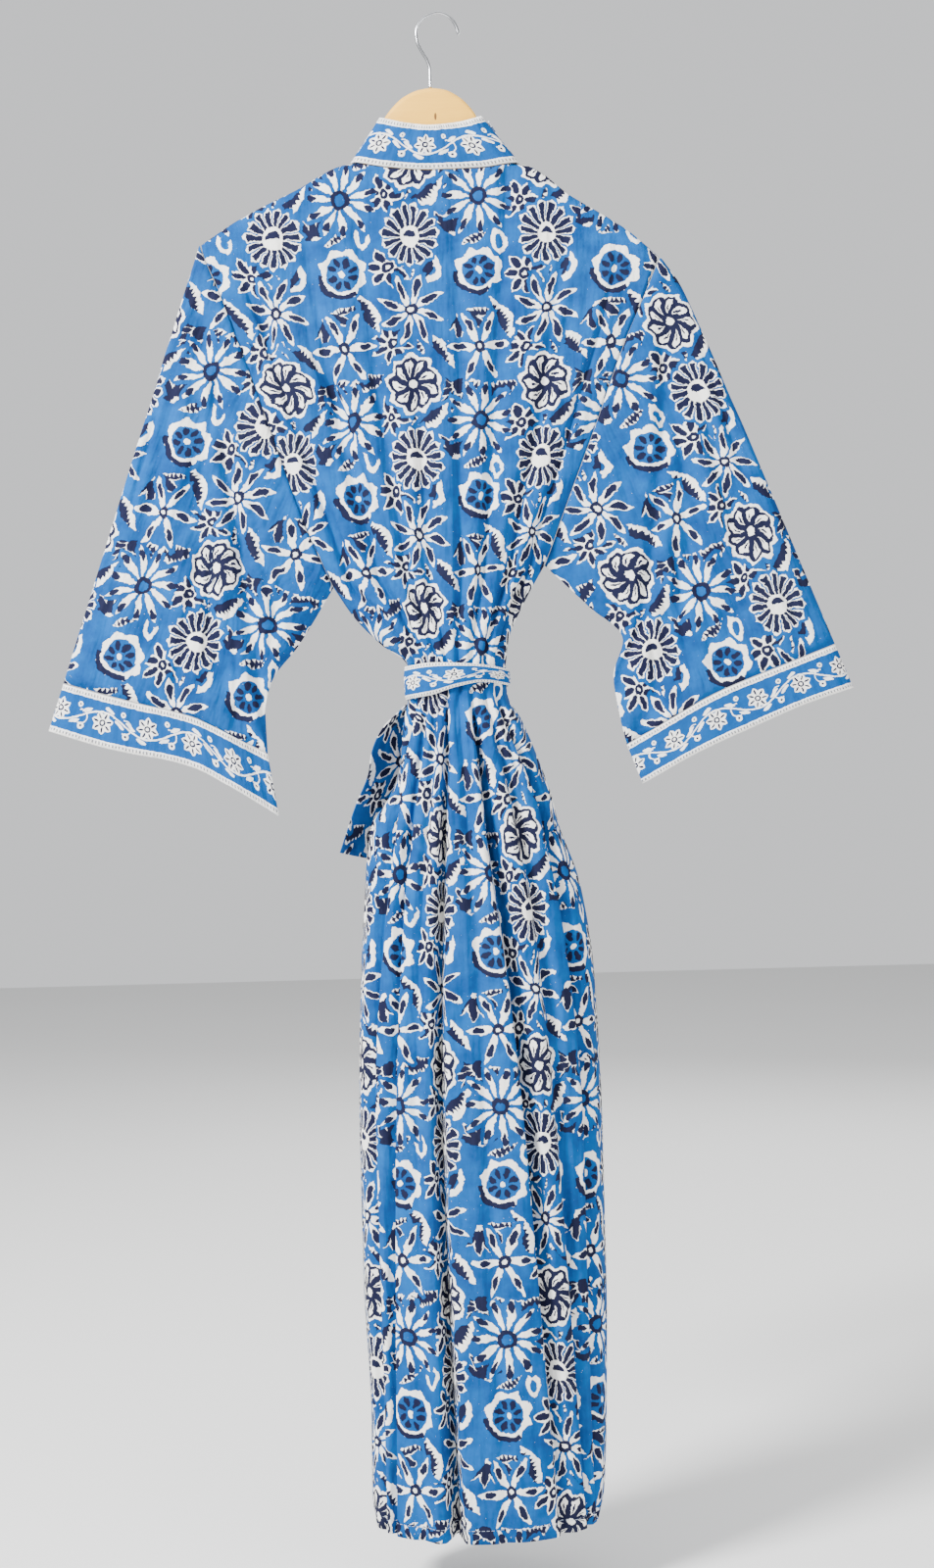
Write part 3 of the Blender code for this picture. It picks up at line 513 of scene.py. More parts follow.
def sleeve_ring(side, down):
    """One ring of a sleeve: down the back layer from the outer fold, then up the front layer."""
    table = SLEEVES[side]
    out = -1.0 if side == "left" else 1.0

    def arm_edge(across):
        point = armhole(side, across, False)
        return np.array([point[0], point[2]])

    ring = []
    for step in range(2 * SLEEVE_COLUMNS):
        front, share, across = ring_place(step)
        x, z = coons(arm_edge, lambda t: along(table.seam, t), lambda t: along(table.outer, t),
                     lambda t: along(table.inner, t), across, down)
        arm_y = abs(armhole(side, across, front)[1])
        hang = puff(SLEEVE_DEPTH, share)
        ease = (1 - down) ** 3
        y = arm_y * ease + hang * (1 - ease)
        y -= sleeve_sink(down, across) * (1.0 if not front else 0.6)
        gap = (SEAM_GAP + TIP_GAP * max(0.0, 1 - across / TIP_SHARE)) * (1 - down)
        if 0 < share < 1:
            y = max(y, FOLD_EDGE)
        ring.append(np.array([x + 0.94 * out * gap, y if front else -y, z - 0.34 * gap]))
    return ring


def belt_ring(share, edge):
    """A point of the belt: share runs once round from the left side, behind first."""
    angle = 2 * math.pi * share
    across = -math.cos(angle)
    behind = math.sin(angle) > 0
    if behind:
        xs = [point.across for point in BELT_BACK]
        z = smooth(xs, [getattr(point, edge) for point in BELT_BACK], across)
    else:
        ends = [getattr(BELT_BACK[0], edge), getattr(BELT_BACK[-1], edge)]
        plain = BELT_FRONT_TOP if edge == "top" else BELT_FRONT_BOTTOM
        side = ends[0] if across < 0 else ends[1]
        z = plain + (side - plain) * abs(across) ** 3
    left, right = sides(3.0)
    middle = 0.5 * (left + right)
    half = 0.5 * (right - left) + BELT_CLEAR + 1.0
    depth = read(BODY, "back" if behind else "front", 3.0) + BELT_CLEAR + 1.5
    return np.array([middle + half * across, -depth * math.sin(angle), z])


def pocket_left():
    """The pocket bag: sewn to the side of the left front below the belt, free lower down."""
    heights = [-row.z for row in BODY]
    rows = []
    for row in POCKET:
        station = smooth(heights, [level.station for level in BODY], -row.z)
        line = []
        for step in range(POCKET_COLUMNS + 1):
            share = step / POCKET_COLUMNS
            bow = POCKET_BOW * math.sin(math.pi * share)
            x = row.outer_x + (row.inner_x - row.outer_x) * share - 0.7 * bow
            y = row.outer_y + (row.inner_y - row.outer_y) * share + 0.7 * bow
            u = POCKET_SEAT[0] + (POCKET_SEAT[1] - POCKET_SEAT[0]) * share
            clear = POCKET_CLOTH + LAYER_GAP + POCKET_RISE * row.free
            seat = body_point(station, u, True) - inward(station, u, True) * clear
            loose = np.array([x, y, row.z - row.drop * share])
            line.append(seat * (1 - row.free) + loose * row.free)
        rows.append(line[::-1])
    return rows


# Fine creases of the back, in the photo side's own x and z: depth, half width, and the line.
Crease = namedtuple("Crease", "depth width line")
BACK_CREASES = [
    Crease(3.4, 5.0, [(-195, -232), (-187, -256), (-173, -283), (-165, -313), (-158, -330)]),
    Crease(3.0, 4.6, [(-146, -345), (-132, -407), (-119, -450), (-104, -495), (-94, -524)]),
    Crease(3.8, 5.2, [(-137, -240), (-127, -314), (-107, -354), (-93, -393), (-76, -437), (-56, -489)]),
    Crease(2.6, 4.6, [(-70, -340), (-64, -368), (-61, -398)]),
    Crease(3.0, 4.8, [(122, -262), (108, -308), (93, -368), (84, -400)]),
    Crease(2.4, 4.4, [(70, -412), (60, -462), (50, -508), (40, -556)]),
    Crease(2.2, 4.0, [(-32, -452), (-28, -505), (-20, -556), (-14, -600)]),
    Crease(2.0, 3.8, [(98, -428), (80, -482), (62, -535), (47, -588)]),
    Crease(1.8, 3.6, [(8, -470), (9, -520), (6, -572)]),
    Crease(-2.2, 6.5, [(-176, -236), (-158, -290), (-140, -342)]),
    Crease(-2.0, 6.0, [(150, -256), (134, -306), (118, -356)]),
    Crease(1.6, 3.2, [(-52, -548), (-42, -580), (-34, -606)]),
    Crease(1.5, 3.0, [(28, -560), (22, -586), (18, -606)]),
    Crease(3.0, 2.0, [(-48, -644), (-52, -680), (-54, -712), (-64, -738), (-79, -760)]),
    Crease(2.0, 2.6, [(-28, -646), (-33, -690), (-41, -740), (-47, -806)]),
    Crease(1.6, 2.4, [(-20, -645), (-22, -675), (-26, -712)]),
    Crease(2.2, 2.8, [(8, -640), (10, -672), (13, -718), (17, -776)]),
    Crease(1.6, 2.4, [(0, -642), (0, -668), (2, -700)]),
    Crease(2.4, 2.8, [(36, -640), (46, -676), (56, -716), (64, -762)]),
    Crease(2.0, 2.6, [(50, -642), (64, -672), (78, -712), (88, -752), (97, -800)]),
    Crease(1.8, 4.5, [(-66, -820), (-71, -900), (-76, -985), (-78, -1060)]),
    Crease(1.6, 4.5, [(-88, -1180), (-87, -1250), (-84, -1330)]),
    Crease(1.5, 5.0, [(2, -900), (4, -985), (2, -1060)]),
    Crease(-1.6, 7.0, [(22, -1180), (34, -1270), (44, -1350)]),
    Crease(1.7, 4.2, [(94, -960), (99, -1060), (101, -1150)]),
    Crease(1.4, 4.0, [(-56, -1290), (-53, -1350), (-55, -1405)]),
    Crease(1.2, 4.0, [(58, -1330), (62, -1370), (60, -1408)]),
]
FRONT_CREASES = [
    Crease(3.2, 5.0, [(-178, -250), (-162, -310), (-142, -380), (-120, -455), (-98, -515)]),
    Crease(2.6, 4.6, [(-128, -300), (-108, -370), (-88, -440), (-66, -510), (-50, -570)]),
    Crease(2.2, 4.2, [(-92, -420), (-72, -480), (-50, -545), (-38, -600)]),
    Crease(3.0, 5.0, [(158, -270), (140, -330), (118, -400), (94, -470), (74, -520)]),
    Crease(2.4, 4.4, [(118, -330), (98, -400), (78, -470), (56, -545), (42, -600)]),
    Crease(2.2, 2.8, [(-34, -646), (-42, -684), (-52, -730), (-60, -790)]),
    Crease(2.0, 2.6, [(-16, -645), (-22, -690), (-30, -750)]),
    Crease(2.2, 2.8, [(34, -644), (46, -684), (58, -730), (66, -790)]),
    Crease(1.8, 2.6, [(20, -644), (28, -684), (36, -730)]),
    Crease(1.8, 4.6, [(-64, -860), (-66, -960), (-62, -1050)]),
    Crease(1.7, 4.6, [(84, -900), (88, -1000), (86, -1110)]),
    Crease(1.6, 5.0, [(-36, -1150), (-34, -1250), (-38, -1340)]),
    Crease(1.6, 4.4, [(70, -1200), (72, -1300), (70, -1390)]),
]
SLEEVE_CREASES = {
    "left": [
        Crease(6.0, 6.0, [(-234, -238), (-228, -296), (-216, -351), (-209, -424), (-199, -489),
                          (-192, -557), (-183, -613), (-176, -681)]),
        Crease(2.4, 6.0, [(-250, -300), (-262, -372), (-276, -440), (-292, -505)]),
        Crease(2.0, 6.0, [(-232, -470), (-243, -540), (-258, -610), (-268, -660)]),
        Crease(-2.0, 8.0, [(-246, -380), (-262, -470), (-284, -560)]),
        Crease(1.8, 5.5, [(-312, -520), (-326, -570), (-338, -612)]),
        Crease(1.8, 5.0, [(-160, -520), (-168, -570), (-176, -610)]),
        Crease(2.6, 3.4, [(-204, -262), (-216, -330), (-226, -402), (-238, -462)]),
        Crease(2.2, 3.0, [(-222, -452), (-226, -520), (-232, -590), (-240, -652)]),
        Crease(2.0, 3.2, [(-262, -330), (-284, -404), (-304, -476)]),
        Crease(2.4, 3.0, [(-186, -430), (-180, -490), (-170, -548), (-160, -596)]),
        Crease(1.8, 3.0, [(-204, -560), (-205, -620), (-208, -676)]),
        Crease(-1.8, 6.0, [(-212, -470), (-216, -550), (-222, -630)]),
    ],
    "right": [
        Crease(6.0, 6.0, [(206, -293), (201, -336), (199, -416), (191, -458), (188, -501),
                          (179, -550), (174, -577), (167, -599), (163, -620)]),
        Crease(2.4, 6.0, [(222, -300), (236, -370), (252, -440), (270, -505)]),
        Crease(2.0, 6.0, [(214, -460), (226, -530), (238, -590), (246, -640)]),
        Crease(-2.0, 8.0, [(226, -372), (244, -462), (268, -550)]),
        Crease(1.8, 5.5, [(296, -500), (312, -552), (326, -600)]),
        Crease(1.8, 5.0, [(136, -500), (146, -548), (152, -588)]),
        Crease(2.6, 3.4, [(190, -262), (200, -326), (212, -398), (220, -458)]),
        Crease(2.2, 3.0, [(204, -440), (208, -510), (212, -580), (220, -640)]),
        Crease(2.0, 3.2, [(238, -318), (260, -392), (282, -466)]),
        Crease(2.4, 3.0, [(166, -420), (160, -476), (150, -530), (142, -572)]),
        Crease(1.8, 3.0, [(182, -548), (184, -600), (190, -656)]),
        Crease(-1.8, 6.0, [(194, -460), (200, -536), (206, -612)]),
    ],
}
# How much deeper than its table a crease is pressed.
CREASE_SCALE = 1.55


def crease_depth(xz, creases):
    """How far each point sinks by a list of creases. A crease fades out at both ends."""
    total = np.zeros(xz.shape[:-1])
    for crease in creases:
        line = np.asarray(crease.line, float)
        steps = np.linalg.norm(np.diff(line, axis=0), axis=1)
        before = np.concatenate([[0.0], np.cumsum(steps)])
        nearest = np.full(xz.shape[:-1], 1e9)
        place = np.zeros(xz.shape[:-1])
        for k, step in enumerate(steps):
            way = (line[k + 1] - line[k]) / step
            offset = xz - line[k]
            reach = np.clip(offset @ way, 0.0, step)
            distance = np.linalg.norm(offset - reach[..., None] * way, axis=-1)
            closer = distance < nearest
            nearest = np.where(closer, distance, nearest)
            place = np.where(closer, (before[k] + reach) / before[-1], place)
        fade = np.sin(math.pi * np.clip(place, 0.0, 1.0)) ** 0.7
        share = nearest / crease.width
        total += CREASE_SCALE * crease.depth * fade * (np.exp(-share ** 2)
                                                      - 0.35 * np.exp(-(share / 2.3) ** 2))
    return total


def refine(points, steps, closed=False):
    """Rows of points, with steps between each two columns, on smooth curves through them."""
    points = np.asarray(points, float)
    if closed:
        points = np.concatenate([points[:, -1:], points, points[:, :2]], axis=1)
    chord = np.linalg.norm(np.diff(points, axis=1), axis=2, keepdims=True) + 1e-6
    slope = np.diff(points, axis=1) / chord
    before, after = slope[:, :-1], slope[:, 1:]
    product = before * after
    total = np.where(np.abs(before + after) > 1e-9, before + after, 1.0)
    inner = np.where(product > 0, 2 * product / total, 0.0)
    tangent = np.concatenate([slope[:, :1], inner, slope[:, -1:]], axis=1)
    f = (np.arange(steps) / steps)[None, None, :, None]
    f2, f3 = f * f, f * f * f
    start, end = points[:, :-1, None], points[:, 1:, None]
    span = chord[:, :, None]
    curve = (start * (2 * f3 - 3 * f2 + 1) + tangent[:, :-1, None] * span * (f3 - 2 * f2 + f)
             + end * (3 * f2 - 2 * f3) + tangent[:, 1:, None] * span * (f3 - f2))
    flat = curve.reshape(points.shape[0], -1, 3)
    if closed:
        return flat[:, steps:-steps]
    return np.concatenate([flat, points[:, -1:]], axis=1)


def fine_stations(step):
    """The table's stations with more between them, about step millimetres apart."""
    found = [ROWS[0]]
    for low, high in zip(ROWS, ROWS[1:]):
        drop = body_point(low, 0.0, False)[2] - body_point(high, 0.0, False)[2]
        count = max(1, int(round(drop / step)))
        found += [low + (high - low) * (k + 1) / count for k in range(count)]
    return found


def surface_normals(grid, closed):
    down = np.gradient(grid, axis=0)
    if closed:
        across = np.roll(grid, -1, axis=1) - np.roll(grid, 1, axis=1)
    else:
        across = np.gradient(grid, axis=1)
    normals = np.cross(down, across)
    return normals / (np.linalg.norm(normals, axis=2, keepdims=True) + 1e-9)


def wall_normals(grid, closed, seams):
    """Unit normals of a grid of points. At the shoulder and a named seam they lie across Y."""
    normals = surface_normals(grid, closed)
    on_shoulder = np.abs(grid[0, :, 1]) < SEAM_GAP
    if not closed:
        normals[0, on_shoulder, 1] = 0.0
    if "first column" in seams:
        normals[:, 0, 1] = 0.0
    if "last column" in seams:
        normals[:, -1, 1] = 0.0
    return normals / (np.linalg.norm(normals, axis=2, keepdims=True) + 1e-9)


def arc(grid):
    """Length along each row from its first point, with the closing step of a ring at the end."""
    ring = np.concatenate([grid, grid[:, :1]], axis=1)
    steps = np.linalg.norm(np.diff(ring, axis=1), axis=2)
    return np.concatenate([np.zeros((len(grid), 1)), np.cumsum(steps, axis=1)], axis=1)


def linked(name, data):
    """A new object of the scene."""
    made = bpy.data.objects.new(name, data)
    bpy.context.scene.collection.objects.link(made)
    return made


def cloth(name, grid, places, finish, thickness, closed=False, flip=False, seams=(), reverse=1.0):
    """A thin wall whose outer face runs through a grid of points.

    places holds each point's place on the flat cloth in metres, one column more on a closed ring.
    The attribute "inside" is 0 on the outer face and 1 on the inner one.
    """
    if flip:
        grid = grid[:, ::-1]
        places = places[:, ::-1]
    high, wide = grid.shape[:2]
    inner = grid - wall_normals(grid, closed, seams) * thickness
    points = np.concatenate([grid.reshape(-1, 3), inner.reshape(-1, 3)]) * MM
    columns = wide if closed else wide - 1
    i, j = np.meshgrid(np.arange(high - 1), np.arange(columns), indexing="ij")
    i, j = i.ravel(), j.ravel()
    k = (j + 1) % wide
    span = places.shape[1]
    corners = np.stack([i * wide + j, (i + 1) * wide + j, (i + 1) * wide + k, i * wide + k], 1)
    spots = np.stack([i * span + j, (i + 1) * span + j, (i + 1) * span + j + 1, i * span + j + 1], 1)
    inside = high * wide
    rims = [([(0, n) for n in range(columns + 1)], False),
            ([(high - 1, n) for n in range(columns + 1)], True)]
    if not closed:
        rims += [([(n, 0) for n in range(high)], True), ([(n, wide - 1) for n in range(high)], False)]
    rim_faces, rim_spots = [], []
    for rim, turned in rims:
        rim = rim[::-1] if turned else rim
        for (a, b), (c, d) in zip(rim, rim[1:]):
            here, there = a * wide + b % wide, c * wide + d % wide
            spot, next_spot = a * span + b, c * span + d
            rim_faces.append((here, there, inside + there, inside + here))
            rim_spots.append((spot, next_spot, next_spot, spot))
    faces = np.concatenate([corners, inside + corners[:, ::-1], np.array(rim_faces)])
    face_spots = np.concatenate([spots, spots[:, ::-1], np.array(rim_spots)])
    mesh = bpy.data.meshes.new(name)
    mesh.from_pydata(points.tolist(), [], faces.tolist())
    layer = mesh.uv_layers.new(name="cloth")
    layer.data.foreach_set("uv", places.reshape(-1, 2)[face_spots.ravel()].astype(float).ravel())
    side = mesh.attributes.new("inside", "FLOAT", "POINT")
    side.data.foreach_set("value", np.repeat([0.0, reverse], inside))
    mesh.materials.append(finish)
    mesh.shade_smooth()
    return linked(name, mesh)


def surface_line(grid, row=None, column=None, closed=False, flip=False, seams=(), lift=0.12):
    """A row or a column of the grid, lifted off its outer face, in metres."""
    if flip:
        grid = grid[:, ::-1]
    lifted = grid + wall_normals(grid, closed, seams) * lift
    return (lifted[row] if row is not None else lifted[:, column]) * MM


def line_object(name, lines):
    """A mesh of open or closed lines. Each line is its points and whether it closes."""
    points, edges = [], []
    for line, closes in lines:
        first = len(points)
        points += [tuple(point) for point in line]
        edges += [(first + k, first + k + 1) for k in range(len(line) - 1)]
        if closes:
            edges.append((len(points) - 1, first))
    mesh = bpy.data.meshes.new(name)
    mesh.from_pydata(points, edges, [])
    return linked(name, mesh)


# The seed of the stitches' lengths, and from one stitch to the next in stitch lengths.
STITCH_SEED = 7
STITCH_PITCH = 1.45


def stitch_tree():
    """Stitches along a mesh's edges: short rods, one after another, laid on the line."""
    tree = bpy.data.node_groups.get("stitches")
    if tree:
        return tree
    tree = bpy.data.node_groups.new("stitches", "GeometryNodeTree")
    face = tree.interface
    face.new_socket("Geometry", in_out="INPUT", socket_type="NodeSocketGeometry")
    for name, kind, value in (("Stitch length", "NodeSocketFloat", 0.003),
                              ("Thread radius", "NodeSocketFloat", 0.0002),
                              ("Thread sides", "NodeSocketInt", 5), ("Seed", "NodeSocketInt", STITCH_SEED),
                              ("Thread", "NodeSocketMaterial", None)):
        socket = face.new_socket(name, in_out="INPUT", socket_type=kind)
        if value is not None:
            socket.default_value = value
    face.new_socket("Geometry", in_out="OUTPUT", socket_type="NodeSocketGeometry")

    def node(kind, settings=None, links=None):
        made = tree.nodes.new(kind)
        for key, value in (settings or {}).items():
            setattr(made, key, value)
        for key, source in (links or {}).items():
            if isinstance(source, bpy.types.NodeSocket):
                tree.links.new(source, made.inputs[key])
            else:
                made.inputs[key].default_value = source
        return made

    given = node("NodeGroupInput").outputs
    curve = node("GeometryNodeMeshToCurve", None, {"Mesh": given["Geometry"]})
    pitch = node("ShaderNodeMath", {"operation": "MULTIPLY"}, {0: given["Stitch length"], 1: STITCH_PITCH})
    spots = node("GeometryNodeResampleCurve", {"mode": "LENGTH"},
                 {"Curve": curve.outputs[0], "Length": pitch.outputs[0]})
    rod = node("GeometryNodeMeshCylinder", {"fill_type": "NGON"},
               {"Vertices": given["Thread sides"], "Radius": given["Thread radius"],
                "Depth": given["Stitch length"]})
    way = node("GeometryNodeInputTangent")
    turned = node("FunctionNodeAlignRotationToVector", {"axis": "Z"}, {"Vector": way.outputs[0]})
    varied = node("FunctionNodeRandomValue", {"data_type": "FLOAT"},
                  {2: 0.86, 3: 1.1, "Seed": given["Seed"]})
    rods = node("GeometryNodeInstanceOnPoints", None,
                {"Points": spots.outputs[0], "Instance": rod.outputs["Mesh"],
                 "Rotation": turned.outputs[0], "Scale": varied.outputs[1]})
    joined = node("GeometryNodeRealizeInstances", None, {"Geometry": rods.outputs[0]})
    threaded = node("GeometryNodeSetMaterial", None,
                    {"Geometry": joined.outputs[0], "Material": given["Thread"]})
    node("NodeGroupOutput", None, {0: threaded.outputs[0]})
    return tree


def stitched(name, lines, sizes):
    """Stitches of sewing thread on the lines, as one mesh."""
    guide = line_object(name + "_line", lines)
    tree = stitch_tree()
    maker = guide.modifiers.new("stitches", "NODES")
    maker.node_group = tree
    values = {"Stitch length": sizes.stitch_length, "Thread radius": sizes.stitch_radius,
              "Thread sides": sizes.thread_sides, "Seed": STITCH_SEED, "Thread": finish_of("sewing_thread")}
    for item in tree.interface.items_tree:
        if item.item_type == "SOCKET" and item.in_out == "INPUT" and item.name in values:
            maker[item.identifier] = values[item.name]
    evaluated = guide.evaluated_get(bpy.context.evaluated_depsgraph_get())
    mesh = bpy.data.meshes.new_from_object(evaluated)
    guide.modifiers.remove(maker)
    bpy.data.objects.remove(guide)
    mesh.name = name
    made = linked(name, mesh)
    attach(made, "root")
    return made


# How finely each piece is divided: millimetres between a panel's rows, steps between the columns of
# the tables, and rows or columns of a sleeve, a strip, the collar, the belt and its ends.
ROW_STEP = 7.0
PANEL_STEPS = 4
SLEEVE_STEPS = 10
SLEEVE_ROWS = 46
STRIP_STEPS = 12
COLLAR_STEPS = 108
BELT_ROWS = 8
BELT_STEPS = 200
TAIL_COLUMNS = 4
# The part of its length at which a sleeve meets the cuff's seam, and how near the side seams a
# front band may come.
SLEEVE_END = 0.9985
BAND_REACH = 0.985
# Rows and columns over which the creases fade out towards a panel's sewn edges.
EDGE_FADE = 10
TOP_FADE = 4
# How far each sleeve's cloth leans from upright, and how wide a border strip is in its print.
SLEEVE_TILT = {"left": math.radians(19.0), "right": math.radians(-19.0)}
BORDER_WIDTH = 45.0


def sunk(grid, creases, facing=1.0):
    """A panel with its creases pressed in, left alone near its sewn edges."""
    high, wide = grid.shape[:2]
    column = np.arange(wide)
    keep = np.clip(np.minimum(column, wide - 1 - column) / EDGE_FADE, 0.0, 1.0)
    keep = keep * np.clip(np.arange(high)[:, None] / TOP_FADE, 0.0, 1.0)
    depth = crease_depth(grid[..., [0, 2]], creases) * keep * facing
    return grid - surface_normals(grid, False) * depth[..., None]


def upright(grid, reference, face):
    """Places on the flat cloth: across by each row's own length, down by height."""
    level = grid.copy()
    level[..., 2] = 0.0
    across = arc(level)[:, :-1]
    across = across - across[:, reference:reference + 1]
    way = 1.0 if grid[0, -1, 0] > grid[0, 0, 0] else -1.0
    across = face * (way * across + grid[:, reference:reference + 1, 0])
    return np.stack([across, -grid[..., 2]], axis=2) * MM


def along_strip(grid, closed=False, down=False):
    """Places on a border strip: along it by its own length, across it from edge to edge."""
    if down:
        grid = grid.transpose(1, 0, 2)
    length = arc(grid)
    if not closed:
        length = length[:, :-1]
    length = np.broadcast_to(length.mean(axis=0), length.shape)
    share = np.linspace(-0.5, 0.5, len(grid))[:, None] * BORDER_WIDTH
    places = np.stack([length, np.broadcast_to(share, length.shape)], axis=2) * MM
    return places.transpose(1, 0, 2) if down else places


def refine_both(control, across, down):
    grid = refine(control, across)
    return refine(grid.transpose(1, 0, 2), down).transpose(1, 0, 2)


def back_grid():
    control = [[folded(station, column, False)
                for column in fold_columns(BACK_FOLDS, station, -1, 1)]
               for station in fine_stations(ROW_STEP)]
    grid = sunk(refine(control, PANEL_STEPS), BACK_CREASES)
    crest = (1 + 4 * FOLD_COLUMNS) * PANEL_STEPS
    return grid, upright(grid, crest, 1.0)


def front_grid(side):
    folds = LEFT_FRONT_FOLDS if side == "left" else RIGHT_FRONT_FOLDS
    start = -1.0 if side == "left" else 1.0
    control = []
    for station in fine_stations(ROW_STEP):
        columns = fold_columns(folds, station, start, edge_u(station, side))
        control.append([folded(station, column, True, front_inset(station, column[0], side))
                        for column in columns])
    grid = sunk(refine(control, PANEL_STEPS), FRONT_CREASES, start)
    return grid, upright(grid, grid.shape[1] - 1, -1.0)


def sleeve_grid(side):
    control = [sleeve_ring(side, step / SLEEVE_ROWS * SLEEVE_END) for step in range(SLEEVE_ROWS + 1)]
    grid = refine(control, SLEEVE_STEPS, closed=True)
    half = SLEEVE_COLUMNS * SLEEVE_STEPS
    grid = np.roll(grid, -half, axis=1)
    facing = 1.0 if side == "left" else -1.0
    depth = crease_depth(grid[..., [0, 2]], SLEEVE_CREASES[side])
    layer = np.clip(np.abs(grid[..., 1]) / 5.0, 0.0, 1.0)
    layer = layer * np.clip(np.arange(len(grid))[:, None] / 5.0, 0.0, 1.0)
    layer = layer * np.clip((len(grid) - 1 - np.arange(len(grid)))[:, None] / 3.0, 0.3, 1.0)
    depth = np.minimum(depth * layer, np.maximum(np.abs(grid[..., 1]) - 3.0, 0.0))
    grid = grid - surface_normals(grid, True) * (facing * depth)[..., None]
    ring = np.concatenate([grid, grid[:, :1]], axis=1)
    tilt = SLEEVE_TILT[side]
    across = ring[..., 0] * math.cos(tilt) - ring[..., 2] * math.sin(tilt)
    down = -(ring[..., 0] * math.sin(tilt) + ring[..., 2] * math.cos(tilt))
    steps = np.diff(ring, axis=1)
    extra = np.linalg.norm(steps, axis=2) - np.hypot(steps[..., 0], steps[..., 2])
    extra = np.concatenate([np.zeros((len(ring), 1)), np.cumsum(extra, axis=1)], axis=1)
    extra = extra - extra[:, half:half + 1]
    fold = across[:, half:half + 1]
    behind = np.arange(ring.shape[1]) >= half
    across = np.where(behind, across, 2 * fold - across) + facing * extra
    return grid, np.stack([across, down], axis=2) * MM


def cuff_grid(side):
    table = SLEEVES[side]
    seam_ring = sleeve_ring(side, 1.0)
    rows = []
    for step in range(STRIP_STEPS + 1):
        down = step / STRIP_STEPS
        ring = []
        for index, point in enumerate(seam_ring):
            front, share, across = ring_place(index)
            edge = along(table.cuff, across)
            hang = puff(CUFF_DEPTH, share) - 0.5 * sleeve_sink(1.0, across)
            target = np.array([edge[0], hang if front else -hang, edge[1]])
            way = (target - point) / np.linalg.norm(target - point)
            ring.append(point + (target - point) * down + way * SEAM_GAP * (1 - down))
        rows.append(ring)
    grid = np.roll(refine(rows, SLEEVE_STEPS, closed=True), -SLEEVE_COLUMNS * SLEEVE_STEPS, axis=1)
    return grid, along_strip(grid, closed=True)


def front_band_grid(side):
    rows = []
    for station in fine_stations(ROW_STEP):
        reach = read(FRONT_EDGE, "reach", station)
        lift = read(FRONT_EDGE, "lift", station)
        seam_u = edge_u(station, side)
        inset = front_inset(station, seam_u, side)
        row = []
        for step in range(STRIP_STEPS + 1):
            share = step / STRIP_STEPS
            if station < 2:
                point = body_point(station, seam_u, True)
                point[0] += (SEAM_GAP + reach * share) * (1 if side == "left" else -1)
                point[2] += lift * share
                ease = min(1.0, station / 0.5)
                point[1] = max(point[1], SEAM_GAP) + 3.0 * math.sin(math.pi * share) * (1 - ease)
                point[1] -= inset
            else:
                u = edge_u(station, side, SEAM_GAP + reach * share)
                point = folded(station, (float(np.clip(u, -BAND_REACH, BAND_REACH)), 0.0, 0.0), True, inset)
            row.append(point)
        rows.append(row)
    grid = np.asarray(rows)
    return grid, along_strip(grid, down=True)


def collar_grid():
    shares = [point.share for point in COLLAR]

    def column(name, share):
        return smooth(shares, [getattr(point, name) for point in COLLAR], share)

    rows = []
    for height_step in range(STRIP_STEPS + 1):
        height = 1.0 - height_step / STRIP_STEPS
        row = []
        for step in range(COLLAR_STEPS + 1):
            share = step / COLLAR_STEPS
            lift = SEAM_GAP + 0.3 + 0.8 * (1 - math.sin(math.pi * share))
            low = np.array([column("x", share), column("y", share), column("z", share) + lift])
            high = np.array([column("top_x", share), column("top_y", share), column("top_z", share)])
            point = low * (1 - height) + high * height
            bow = COLLAR_BOW * math.sin(math.pi * height) * math.sin(math.pi * share)
            point[1] = min(point[1] - bow, -0.5 * SEAM_GAP)
            row.append(point)
        rows.append(row)
    grid = np.asarray(rows)
    return grid, along_strip(grid)


def belt_grid():
    rows = []
    for edge_step in range(BELT_ROWS + 1):
        share = edge_step / BELT_ROWS
        row = []
        for step in range(BELT_STEPS):
            top, bottom = (belt_ring(step / BELT_STEPS, edge) for edge in ("top", "bottom"))
            point = top + (bottom - top) * share
            swell = 1.2 * math.sin(math.pi * share)
            turn = 2 * math.pi * step / BELT_STEPS
            ripple = 0.35 * math.sin(3 * turn + 5 * share) + 0.25 * math.sin(11 * turn - 4 * share)
            out = np.array([-math.cos(turn), -math.sin(turn), 0.0])
            row.append(point + out * (swell + ripple * math.sin(math.pi * share)))
        rows.append(row)
    grid = np.asarray(rows)
    return grid, along_strip(grid, closed=True)


def tail_grid(rows_table):
    control = []
    for row in rows_table:
        line = []
        for step in range(TAIL_COLUMNS + 1):
            across = step / TAIL_COLUMNS - 0.5
            bow = 3.0 * math.cos(math.pi * across)
            line.append(np.array([row.x + row.width * across, row.y + bow, row.z]))
        control.append(line[::-1])
    grid = refine_both(control, 3, 14)
    return grid, along_strip(grid, down=True)


def pocket_grid():
    grid = refine_both(pocket_left(), 5, 6)
    across = arc(grid)[:, :-1]
    return grid, np.stack([-across - 0.021 / MM, -grid[..., 2]], axis=2) * MM


